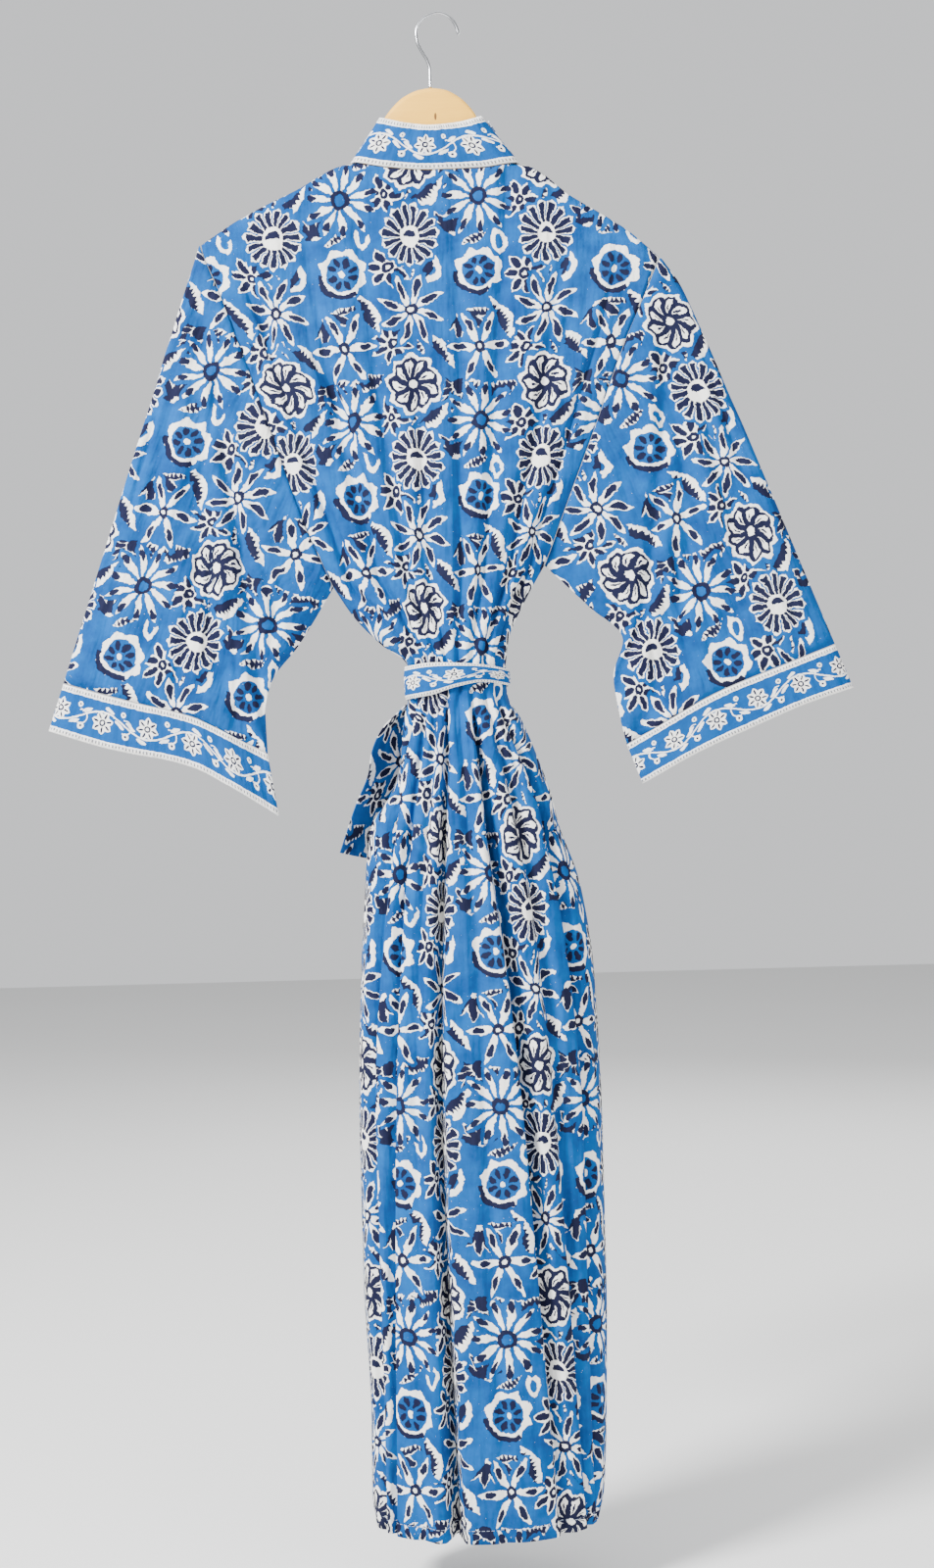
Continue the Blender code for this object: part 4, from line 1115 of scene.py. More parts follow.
def loft(name, rings, finish):
    """A closed solid through rings, with a fan at each end."""
    rings = np.asarray(rings, float)
    count, sides_count = rings.shape[:2]
    points = np.concatenate([rings.reshape(-1, 3), [rings[0].mean(0), rings[-1].mean(0)]]) * MM
    first, last = count * sides_count, count * sides_count + 1
    faces = []
    for i in range(count - 1):
        for j in range(sides_count):
            k = (j + 1) % sides_count
            low, high = i * sides_count, (i + 1) * sides_count
            faces.append((low + j, low + k, high + k, high + j))
    for j in range(sides_count):
        k = (j + 1) % sides_count
        faces.append((first, k, j))
        faces.append((last, (count - 1) * sides_count + j, (count - 1) * sides_count + k))
    mesh = bpy.data.meshes.new(name)
    mesh.from_pydata(points.tolist(), [], faces)
    solid = bmesh.new()
    solid.from_mesh(mesh)
    bmesh.ops.recalc_face_normals(solid, faces=solid.faces)
    solid.to_mesh(mesh)
    solid.free()
    mesh.materials.append(finish)
    mesh.shade_smooth()
    return linked(name, mesh)


def wood_rings():
    xs = [point.x for point in HANGER]
    ends = [xs[0] + d for d in (0.0, 0.4, 1.2)], [xs[-1] - d for d in (1.2, 0.4, 0.0)]
    spots = ends[0] + list(np.linspace(xs[0] + 2.5, xs[-1] - 2.5, 190)) + ends[1]
    rings = []
    for x in spots:
        top, bottom, half = (smooth(xs, [getattr(point, name) for point in HANGER], x)
                             for name in ("top", "bottom", "half"))
        edge = min(abs(x - xs[0]), abs(x - xs[-1]))
        shrink = 1.0 if edge > 2.0 else 0.55 + 0.45 * math.sqrt(1 - (1 - edge / 2.0) ** 2)
        middle, half_height = 0.5 * (top + bottom), 0.5 * (top - bottom) * shrink
        half *= shrink
        ring = []
        for step in range(40):
            angle = 2 * math.pi * (step + 0.5) / 40
            up, across = math.sin(angle), math.cos(angle)
            z = middle + math.copysign(max(half_height - half * 1.05, 0.1), up) + up * half * 1.05
            ring.append((x, half * across, z))
        rings.append(ring)
    return rings


def hook_rings():
    steps, round_count = 110, 16
    centres = np.array([along(HOOK_PATH, step / steps) for step in range(steps + 1)])
    ways = np.gradient(centres, axis=0)
    ways /= np.linalg.norm(ways, axis=1, keepdims=True)
    rings = []
    for index, (centre, way) in enumerate(zip(centres, ways)):
        from_tip = steps - index
        radius = WIRE_RADIUS * (1.0 if from_tip > 2 else (0.35, 0.78, 0.94)[from_tip])
        ring = []
        for step in range(round_count):
            angle = 2 * math.pi * step / round_count
            side, depth = math.cos(angle) * radius, math.sin(angle) * radius
            ring.append((centre[0] - way[1] * side, depth, centre[1] + way[0] * side))
        rings.append(ring)
    return rings


def knot_rings():
    """The knot: a rounded form with a band wrapped over its middle and creases running into it."""
    width, depth, height = KNOT_SIZE
    front = read(BODY, "front", 3.0) + BELT_CLEAR + 1.5
    middle = (KNOT_CENTRE[0], front + LAYER_GAP + 0.5 * depth, KNOT_CENTRE[1])
    rings = []
    for i in range(1, 48):
        tilt = math.pi * i / 48 - math.pi / 2
        wrap = math.exp(-(math.sin(tilt) / 0.34) ** 2)
        groove = math.exp(-((abs(math.sin(tilt)) - 0.46) / 0.09) ** 2)
        ring = []
        for step in range(64):
            angle = 2 * math.pi * step / 64
            pleat = 0.045 * math.sin(7 * angle + 2.2 * math.sin(tilt)) * (1 - wrap)
            grow = 0.93 + 0.05 * wrap - 0.09 * groove + pleat
            ring.append((middle[0] + 0.5 * width * math.sin(tilt),
                         middle[1] + 0.5 * depth * grow * math.cos(tilt) ** 0.8 * math.cos(angle),
                         middle[2] + 0.5 * height * grow * math.cos(tilt) ** 0.6 * math.sin(angle)))
        rings.append(ring)
    return rings


def operator(operation, swapped=False):
    """A method that adds a Math node for an arithmetic sign."""

    def apply(self, *other):
        return self.finish.maths(operation, *((*other, self) if swapped else (self, *other)))

    return apply


class Value:
    """A number in a finish's node tree. Arithmetic on it adds Math nodes."""

    def __init__(self, finish, socket):
        self.finish = finish
        self.socket = socket

    def __neg__(self):
        return self * -1.0

    __add__ = operator("ADD")
    __radd__ = operator("ADD", swapped=True)
    __sub__ = operator("SUBTRACT")
    __rsub__ = operator("SUBTRACT", swapped=True)
    __mul__ = operator("MULTIPLY")
    __rmul__ = operator("MULTIPLY", swapped=True)
    __truediv__ = operator("DIVIDE")
    __abs__ = operator("ABSOLUTE")
    __pow__ = operator("POWER")
    __lt__ = operator("LESS_THAN")
    __gt__ = operator("GREATER_THAN")
    __or__ = operator("MAXIMUM")
    __and__ = operator("MULTIPLY")


class Finish:
    """A material and the nodes that make it."""

    def __init__(self, name, roughness, metallic=0.0, specular=0.5):
        self.material = bpy.data.materials.new(name)
        self.material.use_nodes = True
        self.tree = self.material.node_tree
        self.shader = self.tree.nodes["Principled BSDF"]
        self.shader.inputs["Roughness"].default_value = roughness
        self.shader.inputs["Metallic"].default_value = metallic
        self.shader.inputs["Specular IOR Level"].default_value = specular

    def node(self, kind, settings=None, inputs=None):
        made = self.tree.nodes.new(kind)
        for key, value in (settings or {}).items():
            setattr(made, key, value)
        for key, value in (inputs or {}).items():
            self.put(made.inputs[key], value)
        return made

    def put(self, socket, value):
        if isinstance(value, Value):
            value = value.socket
        if isinstance(value, bpy.types.NodeSocket):
            self.tree.links.new(value, socket)
        elif value is not None:
            socket.default_value = value

    def value(self, socket):
        return Value(self, socket)

    def maths(self, operation, *terms):
        made = self.node("ShaderNodeMath", {"operation": operation}, dict(enumerate(terms)))
        return Value(self, made.outputs[0])

    def stretch(self, value, low, high):
        """The value from low to high spread over 0 to 1."""
        made = self.node("ShaderNodeMapRange", None, {"Value": value, "From Min": low, "From Max": high})
        return Value(self, made.outputs[0])

    def length(self, x, y):
        both = self.node("ShaderNodeCombineXYZ", None, {"X": x, "Y": y})
        made = self.node("ShaderNodeVectorMath", {"operation": "LENGTH"}, {0: both.outputs[0]})
        return Value(self, made.outputs["Value"])

    def mix(self, factor, first, second):
        """A colour between two, by a number from 0 to 1."""
        made = self.node("ShaderNodeMix", {"data_type": "RGBA"}, {0: factor, 6: first, 7: second})
        return made.outputs[2]

    def noise(self, vector, scale, detail=2.0, roughness=0.5):
        made = self.node("ShaderNodeTexNoise", None,
                         {"Vector": vector, "Scale": scale, "Detail": detail, "Roughness": roughness})
        return Value(self, made.outputs[0]), made.outputs["Color"]

    def bump(self, height, distance, strength=1.0, onto=None):
        made = self.node("ShaderNodeBump", None, {"Height": height, "Distance": distance,
                                                  "Strength": strength, "Normal": onto})
        return made.outputs[0]

    def lookup(self, place, rows):
        """Three columns of a table by a place from 0 to 1, as numbers: each row has an equal share."""
        made = self.node("ShaderNodeValToRGB", None, {0: place})
        ramp = made.color_ramp
        ramp.interpolation = "CONSTANT"
        while len(ramp.elements) < len(rows):
            ramp.elements.new(1.0)
        for index, row in enumerate(rows):
            ramp.elements[index].position = index / len(rows)
            ramp.elements[index].color = (*[number / 100.0 for number in row], 1.0)
        parts = self.node("ShaderNodeSeparateColor", None, {0: made.outputs[0]})
        return [Value(self, socket) * 100.0 for socket in parts.outputs]


# The flowers of the print, in millimetres, one for each place of the repeat. petals is their
# number, tip and root the petal's ends, half its half width; edge is a navy outline's width; disc
# and core are the round grounds in white and blue; mark is the navy stroke's middle, long and wide
# its half sizes; ring and hole are the eye's radii; pale says a white hole; cut leaves half an eye;
# split is where the disc is cut between petals, in hundredths of a petal; turn in hundredths of a
# petal; squeeze narrows the flower, in hundredths; swirl bends its petals; moon is the half width
# of a navy crescent on its rim.
Flower = namedtuple("Flower", "petals tip root half edge disc core mark long wide ring hole pale "
                              "cut split turn squeeze swirl moon")
FLOWERS = [
    Flower(11, 39, 8, 4.1, 0, 9, 0, 29.0, 5.4, 2.8, 8.8, 4.6, 0, 0, 50, 10, 96, 0, 0),
    Flower(15, 20, 8, 2.6, 0, 29, 0, 18.8, 8.6, 2.5, 6.6, 0.0, 0, 1, 42, 30, 90, 0, 0),
    Flower(6, 37, 3, 4.8, 0, 4, 0, 22.5, 6.6, 3.0, 6.4, 2.6, 1, 0, 50, 45, 84, 0, 0),
    Flower(9, 26, 4, 12.0, 6.0, 28, 0, 14.0, 4.0, 0.8, 2.6, 2.6, 1, 0, 50, 20, 90, 60, 0),
    Flower(8, 6, 3, 1.0, 0, 22, 15.5, 10.0, 4.4, 2.6, 3.0, 3.0, 1, 0, 50, 0, 100, 0, 2.4),
    Flower(8, 35, 4, 4.6, 0, 7, 0, 20.5, 8.4, 2.9, 6.0, 2.6, 1, 0, 50, 65, 94, 16, 0),
]
# The leaves and buds between the flowers: long and half their half sizes, the navy half's offset
# and half width, its teeth, the blue core's length and width, the turn in degrees, and a shift.
Leaf = namedtuple("Leaf", "long half shade_at shade_half teeth core_long core_half turn place")
LEAVES = [
    Leaf(25, 8.4, 4.6, 8.0, 2.6, 0, 0, 48, 0),
    Leaf(14, 8.0, 0, 0, 0, 6.0, 3.4, 100, 2),
    Leaf(26, 7.6, 4.0, 7.4, 2.8, 0, 0, 140, 0),
    Leaf(22, 9.0, -4.6, 8.4, 3.4, 0, 0, 12, 1),
    Leaf(16, 8.4, 5.0, 5.0, 0, 5.0, 2.4, 70, 0),
    Leaf(25, 7.8, 4.2, 7.6, 3.0, 0, 0, 118, 3),
]
# The fans and small blossoms: petals on a whole turn, their reach, the navy strokes' middle and
# half sizes, how wide the fan opens in degrees each way, its turn, and an eye.
Fan = namedtuple("Fan", "petals reach mark long wide opening turn eye hole")
FANS = [
    Fan(13, 26, 15.0, 10.4, 3.4, 62, 100, 0, 0),
    Fan(7, 20, 12.4, 6.6, 3.2, 180, 20, 5.2, 1.8),
    Fan(15, 26, 16.5, 8.6, 2.9, 92, 255, 7.0, 0),
    Fan(6, 19, 11.4, 6.2, 3.4, 180, 50, 4.6, 1.4),
    Fan(11, 27, 16.0, 11.0, 4.0, 56, 300, 0, 0),
    Fan(8, 20, 12.6, 6.2, 2.8, 180, 75, 5.4, 2.0),
]
# The sprigs: comb-like navy leaves under the other drawings, in the same columns as the above.
SPRIGS = [
    Leaf(17, 5.0, 0, 5.6, 3.4, 0, 0, 30, 0),
    Leaf(15, 4.6, 0, 5.2, 3.8, 0, 0, 95, 0),
    Leaf(18, 5.2, 1.4, 5.0, 3.0, 0, 0, 150, 0),
    Leaf(14, 5.6, 0, 5.4, 3.2, 0, 0, 62, 0),
    Leaf(18, 4.8, -1.2, 5.2, 3.6, 0, 0, 8, 0),
    Leaf(16, 5.2, 0, 5.0, 3.0, 0, 0, 125, 0),
]
# The repeat, and how far and over what length its rows and columns sway, in millimetres.
REPEAT_WIDE = 64.0
REPEAT_HIGH = 70.0
ROW_SWAY = 5.0
ROW_SWAY_LENGTH = 190.0
COLUMN_SWAY = 3.0
COLUMN_SWAY_LENGTH = 240.0
# How far the cutting of the block strays from its line: a rough and a fine part.
ROUGH_CUT = 9.0
FINE_CUT = 3.0
# The border's vine, blossoms, leaves, ladders and the ladders' ticks, in millimetres.
VINE_HALF = 43.0
VINE_SWING = 8.0
BLOSSOM_RADIUS = 10.6
BLOSSOM_PETALS = 7.0
LEAF_PITCH = 10.75
LADDER_FROM = 16.9
TICKS_FROM = 18.3
TICKS_TO = 20.9
TICK_PITCH = 3.1
COTTON_ROUGH = 0.86
COTTON_SHINE = 0.08


def drawn(finish, index, table):
    """The row of a table of drawings that stands at an index, read three columns at a time."""
    fields = table[0]._fields
    values = {}
    for start in range(0, len(fields), 3):
        names = fields[start:start + 3]
        names = names + names[-1:] * (3 - len(names))
        rows = [[float(getattr(row, name)) for name in names] for row in table]
        for name, value in zip(names[::-1], finish.lookup(index, rows)[::-1]):
            values[name] = value
    return type(table[0])(**values)


def flat_place(finish):
    """The place on the flat cloth, in millimetres: across, and up."""
    made = finish.node("ShaderNodeUVMap", {"uv_map": "cloth"})
    parts = finish.node("ShaderNodeSeparateXYZ", None, {0: made.outputs[0]})
    return (made.outputs[0], finish.value(parts.outputs[0]) * 1000.0,
            finish.value(parts.outputs[1]) * -1000.0)


def slot_place(finish, u, v, shift_u, shift_v):
    """A place in its cell of the repeat, and which of the six drawings stands there."""
    across = (u + shift_u) / REPEAT_WIDE
    column = finish.maths("FLOOR", across)
    odd = finish.maths("FLOORED_MODULO", column, 2.0)
    down = (v + shift_v) / REPEAT_HIGH + odd * 0.5
    row = finish.maths("FLOOR", down)
    x = (across - column - 0.5) * REPEAT_WIDE
    y = (down - row - 0.5) * REPEAT_HIGH
    index = (odd + finish.maths("FLOORED_MODULO", row, 3.0) * 2.0 + 0.5) / 6.0
    return x, y, index


def petal_place(finish, angle, radius, petals, turn):
    """A petal's own place: its middle line is 0 and its edges are half a petal, and sideways in mm."""
    share = finish.maths("FRACT", angle * petals / (2 * math.pi) + turn) - 0.5
    return share, share * radius * (2 * math.pi) / petals


def flower(finish, x, y, index):
    (petals, tip, root, half, edge, disc, core, mark, long, wide, ring, hole, pale, cut, split, turn,
     squeeze, swirl, moon) = drawn(finish, index, FLOWERS)
    x = x / (squeeze * 0.01)
    radius = finish.length(x, y)
    angle = finish.maths("ARCTAN2", y, x)
    longer = finish.maths("SINE", angle * 3.0 + index * 40.0) * 1.6
    longer = longer + finish.maths("SINE", angle * 5.0 + index * 90.0) * 1.2
    radius = radius - longer * (radius > 10.0) * (disc < 1.0)
    angle = angle + radius * swirl * 0.0004
    share, aside = petal_place(finish, angle, radius, petals, turn * 0.01)
    along_petal = (radius * 2.0 - tip - root) / (tip - root)
    body = finish.maths("MAXIMUM", 1.0 - along_petal * along_petal, 0.0) ** 0.6
    room = half * body - abs(aside)
    petal = room > 0.75
    seam = (0.5 - abs(share)) * radius * (2 * math.pi) / petals
    outline = ((room < edge + 0.75) | (seam < edge * 0.45)) & petal & (edge > 0.5) & (radius > 4.0)
    scallop = disc + 1.8 - abs(share) * 9.0
    gap = (abs(share) > split * 0.01) & (radius > disc * 0.5)
    ground = (radius < scallop) & (1.0 - gap) & (disc > 1.0)
    white = petal | ground
    near = ((room > -3.8) & (radius < tip + 3.6)) | ((radius < scallop + 4.2) & (disc > 1.0))
    blue = (radius < core) & (core > 1.0)
    pointed = (radius - mark) / long
    narrow = abs(aside) / (wide * (1.0 + pointed * 0.3))
    rounded = finish.length(pointed, narrow)
    stroke = rounded + (finish.maths("MAXIMUM", abs(pointed), narrow) - rounded) * cut < 1.0
    crescent = (abs(radius - disc + 1.0) < moon) & (abs(angle + 2.2) < 1.15) & (moon > 0.5)
    eye = (radius < ring) & (y > (cut - 1.0) * 40.0)
    centre = (radius < hole) & (hole > 0.5)
    navy = outline | stroke | eye | crescent
    return white, near, blue, navy, centre, pale > 0.5


def leaf(finish, x, y, index, table):
    long, half, shade_at, shade_half, teeth, core_long, core_half, turn, place = drawn(finish, index, table)
    turn = turn * math.radians(1.0)
    cosine, sine = finish.maths("COSINE", turn), finish.maths("SINE", turn)
    y = y + place
    ahead = x * cosine + y * sine
    aside = y * cosine - x * sine
    aside = aside - ahead * ahead * 0.006
    taper = 1.0 - (ahead / long) * (ahead / long)
    room = half * taper * (1.0 - ahead * 0.018) - abs(aside)
    tooth = finish.maths("PINGPONG", ahead, 2.1) * teeth * 0.62
    shade_taper = 1.0 - (ahead / long) * (ahead / long) * 1.3
    navy = (abs(aside - shade_at) < shade_half * shade_taper - tooth) & (shade_half > 0.5)
    core = (finish.length((ahead + 1.5) / (core_long + 0.01), aside / (core_half + 0.01)) < 1.0)
    return room > 1.0, room > -3.0, core, navy & (room > 1.0)


def fan(finish, x, y, index):
    petals, reach, mark, long, wide, opening, turn, eye, hole = drawn(finish, index, FANS)
    radius = finish.length(x, y)
    angle = finish.maths("ARCTAN2", y, x) - turn * math.radians(1.0)
    angle = finish.maths("WRAP", angle, math.pi, -math.pi)
    share, aside = petal_place(finish, angle, radius, petals, 0.5)
    open_part = abs(angle) < opening * math.radians(1.0) + 0.06
    white = (radius < reach + 1.8 - abs(share) * 20.0) & open_part
    navy = (finish.length((radius - mark) / long, aside / wide) < 1.0) & open_part
    ring = (radius < eye) & (radius > hole)
    return white, (radius < reach + 3.0) & open_part, navy | ring


def block_print(colours):
    """Matt cotton with the printed flowers: cream and navy on a mottled azure ground."""
    finish = Finish("block_print_cotton", COTTON_ROUGH, specular=COTTON_SHINE)
    place, u, v = flat_place(finish)
    _, rough_colour = finish.noise(place, 55.0, 2.0)
    _, ragged_colour = finish.noise(place, 310.0, 2.0, 0.6)
    rough_parts = finish.node("ShaderNodeSeparateColor", None, {0: rough_colour})
    ragged_parts = finish.node("ShaderNodeSeparateColor", None, {0: ragged_colour})
    stray = [finish.value(rough_parts.outputs[k]) * ROUGH_CUT
             + finish.value(ragged_parts.outputs[k]) * FINE_CUT - 0.5 * (ROUGH_CUT + FINE_CUT)
             for k in (0, 1)]
    u, v = u + stray[0], v + stray[1]
    x, y, index = slot_place(finish, u, v, 0.0, 0.0)
    white, near, blue, navy, centre, pale = flower(finish, x, y, index)
    sway = finish.maths("SINE", v * (2 * math.pi / COLUMN_SWAY_LENGTH)) * COLUMN_SWAY
    v = v + finish.maths("SINE", u * (2 * math.pi / ROW_SWAY_LENGTH)) * ROW_SWAY
    u = u + sway
    x, y, index = slot_place(finish, u, v, REPEAT_WIDE * 0.67, 0.0)
    leaf_white, leaf_near, leaf_core, leaf_navy = leaf(finish, x, y, index, LEAVES)
    x, y, index = slot_place(finish, u, v, REPEAT_WIDE * 0.33, REPEAT_HIGH * 0.5)
    fan_white, fan_near, fan_navy = fan(finish, x, y, index)
    x, y, index = slot_place(finish, u, v, 0.0, REPEAT_HIGH * 0.5)
    sprig_white, _, _, sprig_navy = leaf(finish, x, y, index, SPRIGS)
    free = 1.0 - near
    fan_free = free & (1.0 - leaf_near)
    sprig_free = fan_free & (1.0 - fan_near)
    ground_noise, _ = finish.noise(place, 26.0, 4.0, 0.62)
    fleck_noise, _ = finish.noise(place, 420.0, 2.0, 0.7)
    ground = finish.mix(finish.stretch(ground_noise, 0.32, 0.68), colours["deep"], colours["light"])
    ground = finish.mix(0.42, ground, colours["azure"])
    ground = finish.mix((fleck_noise > 0.735) * 0.55, ground, colours["cream"])
    colour = finish.mix(sprig_white & sprig_free, ground, colours["cream"])
    colour = finish.mix(sprig_navy & sprig_free, colour, colours["navy"])
    colour = finish.mix(fan_white & fan_free, colour, colours["cream"])
    colour = finish.mix(fan_navy & fan_free, colour, colours["navy"])
    colour = finish.mix(leaf_white & free, colour, colours["cream"])
    colour = finish.mix(leaf_core & free, colour, ground)
    colour = finish.mix(leaf_navy & free, colour, colours["navy"])
    colour = finish.mix(white, colour, colours["cream"])
    colour = finish.mix(blue, colour, ground)
    colour = finish.mix(navy, colour, colours["navy"])
    colour = finish.mix(centre, colour, finish.mix(pale, ground, colours["cream"]))
    return cotton(finish, place, colour, colours)


def cotton(finish, place, colour, colours):
    """The cloth under the print: a paler reverse side, faint washed tone, weave and small crinkles."""
    side = finish.node("ShaderNodeAttribute", {"attribute_name": "inside"})
    inside = finish.value(side.outputs["Fac"])
    tone, _ = finish.noise(place, 9.0, 3.0)
    colour = finish.mix(inside * 0.42, colour, colours["reverse"])
    washed = finish.mix(tone * 0.03, colour, colours["shade"])
    finish.put(finish.shader.inputs["Base Color"], washed)
    weave = finish.node("ShaderNodeTexWave", {"wave_type": "BANDS", "bands_direction": "X"},
                        {"Vector": place, "Scale": 520.0, "Distortion": 1.2, "Detail": 1.0})
    weft = finish.node("ShaderNodeTexWave", {"wave_type": "BANDS", "bands_direction": "Y"},
                       {"Vector": place, "Scale": 520.0, "Distortion": 1.2, "Detail": 1.0})
    threads = finish.value(weave.outputs["Fac"]) + finish.value(weft.outputs["Fac"])
    crinkle, _ = finish.noise(place, 70.0, 3.0, 0.55)
    drawn_out = finish.node("ShaderNodeMapping", None, {"Vector": place, "Scale": (46.0, 9.0, 1.0)})
    waves, _ = finish.noise(drawn_out.outputs[0], 1.0, 3.0, 0.5)
    normal = finish.bump(waves, 0.016, 0.5)
    normal = finish.bump(crinkle, 0.0026, 0.6, normal)
    normal = finish.bump(threads, 0.00008, 0.5, normal)
    finish.put(finish.shader.inputs["Normal"], normal)
    return finish.material


def border_print(colours):
    """The border strip: a cream vine with leaves and small blossoms between two ladders."""
    finish = Finish("border_strip_cotton", COTTON_ROUGH, specular=COTTON_SHINE)
    place, u, v = flat_place(finish)
    _, ragged_colour = finish.noise(place, 300.0, 2.0, 0.6)
    ragged_parts = finish.node("ShaderNodeSeparateColor", None, {0: ragged_colour})
    u = u + finish.value(ragged_parts.outputs[0]) * 1.6 - 0.8
    v = v + finish.value(ragged_parts.outputs[1]) * 1.6 - 0.8
    height = abs(v)
    step = finish.maths("FRACT", u / TICK_PITCH)
    ladder = height > LADDER_FROM
    ticks = (height > TICKS_FROM) & (height < TICKS_TO) & (step < 0.42)
    turn = u * (math.pi / VINE_HALF)
    rise = finish.maths("SINE", turn)
    flip = finish.maths("SIGN", rise)
    wave = rise * VINE_SWING
    stem = abs(v - wave) < 0.8
    half_turn = finish.maths("FRACT", u / VINE_HALF)
    x = (half_turn - 0.5) * VINE_HALF
    y = v * flip + 1.6
    radius = finish.length(x, y)
    angle = finish.maths("ARCTAN2", y, x)
    share, aside = petal_place(finish, angle, radius, BLOSSOM_PETALS, 0.2)
    around = radius < BLOSSOM_RADIUS + 1.2
    blossom = radius < BLOSSOM_RADIUS - abs(share) * 6.4
    seeds = finish.length((radius - 6.4) / 2.6, aside / 0.85) < 1.0
    eye = (radius < 3.0) & (radius > 1.5)
    bud_x = (finish.maths("FRACT", u / VINE_HALF + 0.5) - 0.5) * VINE_HALF
    bud = finish.length(bud_x - 1.5, v + 9.0)
    other = finish.length(bud_x + 2.5, v - 9.6)
    buds = (bud < 3.1) | (other < 2.5)
    bud_eyes = (bud < 1.1) | (other < 0.8)
    curl = (abs(finish.length(bud_x, v + 1.0) - 6.2) < 0.55) & (bud_x > -2.0)
    spot = finish.maths("FRACT", u / LEAF_PITCH) - 0.5
    leaf_x = spot * LEAF_PITCH
    leaf_y = v - wave - finish.maths("SIGN", finish.maths("SINE", turn * 4.0)) * 3.2
    lean_x = leaf_x + leaf_y * 0.8
    leaves = (abs(leaf_y) < 2.1 * (1.0 - (lean_x / 4.8) * (lean_x / 4.8))) & (1.0 - around)
    inner = height < 15.6
    cream = ladder | ((stem | leaves | blossom | buds | curl) & inner)
    ground_noise, _ = finish.noise(place, 30.0, 4.0, 0.62)
    ground = finish.mix(ground_noise, colours["deep"], colours["light"])
    ground = finish.mix(0.5, ground, colours["azure"])
    colour = finish.mix(cream, ground, colours["cream"])
    colour = finish.mix((seeds | eye | bud_eyes) & inner, colour, colours["navy"])
    colour = finish.mix(ticks * 0.8, colour, colours["navy"])
    return cotton(finish, place, colour, colours)


def pale_wood(colours):
    """Satin pale wood with a straight grain along the hanger, and painted shade where the slit under the
    hook is.
    """
    finish = Finish("satin_wood", 0.48, specular=0.4)
    where = finish.node("ShaderNodeTexCoord").outputs["Object"]
    along_grain = finish.node("ShaderNodeMapping", None, {"Vector": where, "Scale": (14.0, 120.0, 210.0)})
    grain, _ = finish.noise(along_grain.outputs[0], 1.0, 5.0, 0.6)
    pores_at = finish.node("ShaderNodeMapping", None, {"Vector": where, "Scale": (60.0, 900.0, 1500.0)})
    pores, _ = finish.noise(pores_at.outputs[0], 1.0, 2.0, 0.5)
    colour = finish.mix(grain, colours["wood_light"], colours["wood_dark"])
    colour = finish.mix((pores > 0.62) * 0.35, colour, colours["wood_dark"])
    parts = finish.node("ShaderNodeSeparateXYZ", None, {0: where})
    x = finish.value(parts.outputs[0]) * 1000.0
    z = finish.value(parts.outputs[2]) * 1000.0
    # Painted shade: a small near-black ellipse stands for the shadow inside the slit under the hook, which
    # the mesh does not cut.
    slit = finish.length((x + 5.0) / 1.1, (z + 98.0) / 3.4)
    painted_slit_shade = slit < 1.0
    colour = finish.mix(painted_slit_shade, colour, (0.16, 0.07, 0.02, 1.0))
    finish.put(finish.shader.inputs["Base Color"], colour)
    finish.put(finish.shader.inputs["Roughness"], grain * 0.18 + 0.38)
    normal = finish.bump(grain + pores * 0.4, 0.0003, 0.5)
    finish.put(finish.shader.inputs["Normal"], normal)
    return finish.material


def bright_steel(colours):
    """Bright drawn wire with fine lines and a few dull patches."""
    finish = Finish("drawn_wire", 0.22, metallic=1.0)
    where = finish.node("ShaderNodeTexCoord").outputs["Object"]
    dull, _ = finish.noise(where, 60.0, 2.0)
    lines, _ = finish.noise(where, 1400.0, 2.0)
    finish.put(finish.shader.inputs["Base Color"],
               finish.mix(dull, colours["steel"], colours["steel_dull"]))
    finish.put(finish.shader.inputs["Roughness"], dull * 0.22 + 0.14)
    finish.put(finish.shader.inputs["Normal"], finish.bump(lines, 0.00006, 0.4))
    return finish.material


def thread(colours):
    finish = Finish("sewing_thread", 0.7, specular=0.3)
    where = finish.node("ShaderNodeTexCoord").outputs["Object"]
    ply, _ = finish.noise(where, 900.0, 2.0)
    finish.put(finish.shader.inputs["Base Color"], finish.mix(ply, colours["light"], colours["cream"]))
    finish.put(finish.shader.inputs["Normal"], finish.bump(ply, 0.0001, 0.5))
    return finish.material


def floor_paint(colours):
    finish = Finish("floor_paint", 0.8, specular=0.3)
    where = finish.node("ShaderNodeTexCoord").outputs["Object"]
    soft, _ = finish.noise(where, 1.2, 2.0)
    finish.put(finish.shader.inputs["Base Color"],
               finish.mix(soft, (0.86, 0.86, 0.85, 1.0), (0.89, 0.89, 0.88, 1.0)))
    return finish.material


def span(label, text, value, low, high):
    return FloatProperty(name=label, description=text, default=value, min=low, max=high, unit="LENGTH")


class RobeSizes(bpy.types.PropertyGroup):
    """The sizes a user may change."""

    cloth_thickness: span("Cloth thickness", "Thickness of the printed cloth's wall",
                          0.0007, 0.0002, 0.0012)
    band_thickness: span("Border thickness", "Thickness of the doubled border strips",
                         0.0011, 0.0004, 0.0016)
    stitch_length: span("Stitch length", "Length of a seam's stitches", 0.0030, 0.001, 0.008)
    stitch_radius: span("Thread radius", "Radius of the sewing thread", 0.00022, 0.0001, 0.0006)
    thread_sides: IntProperty(name="Thread sides", description="Corners of the thread's section",
                              default=5, min=3, max=12)


def tint(label, text, red, green, blue):
    return FloatVectorProperty(name=label, description=text, subtype="COLOR", size=4, min=0.0, max=1.0,
                               default=(red, green, blue, 1.0))


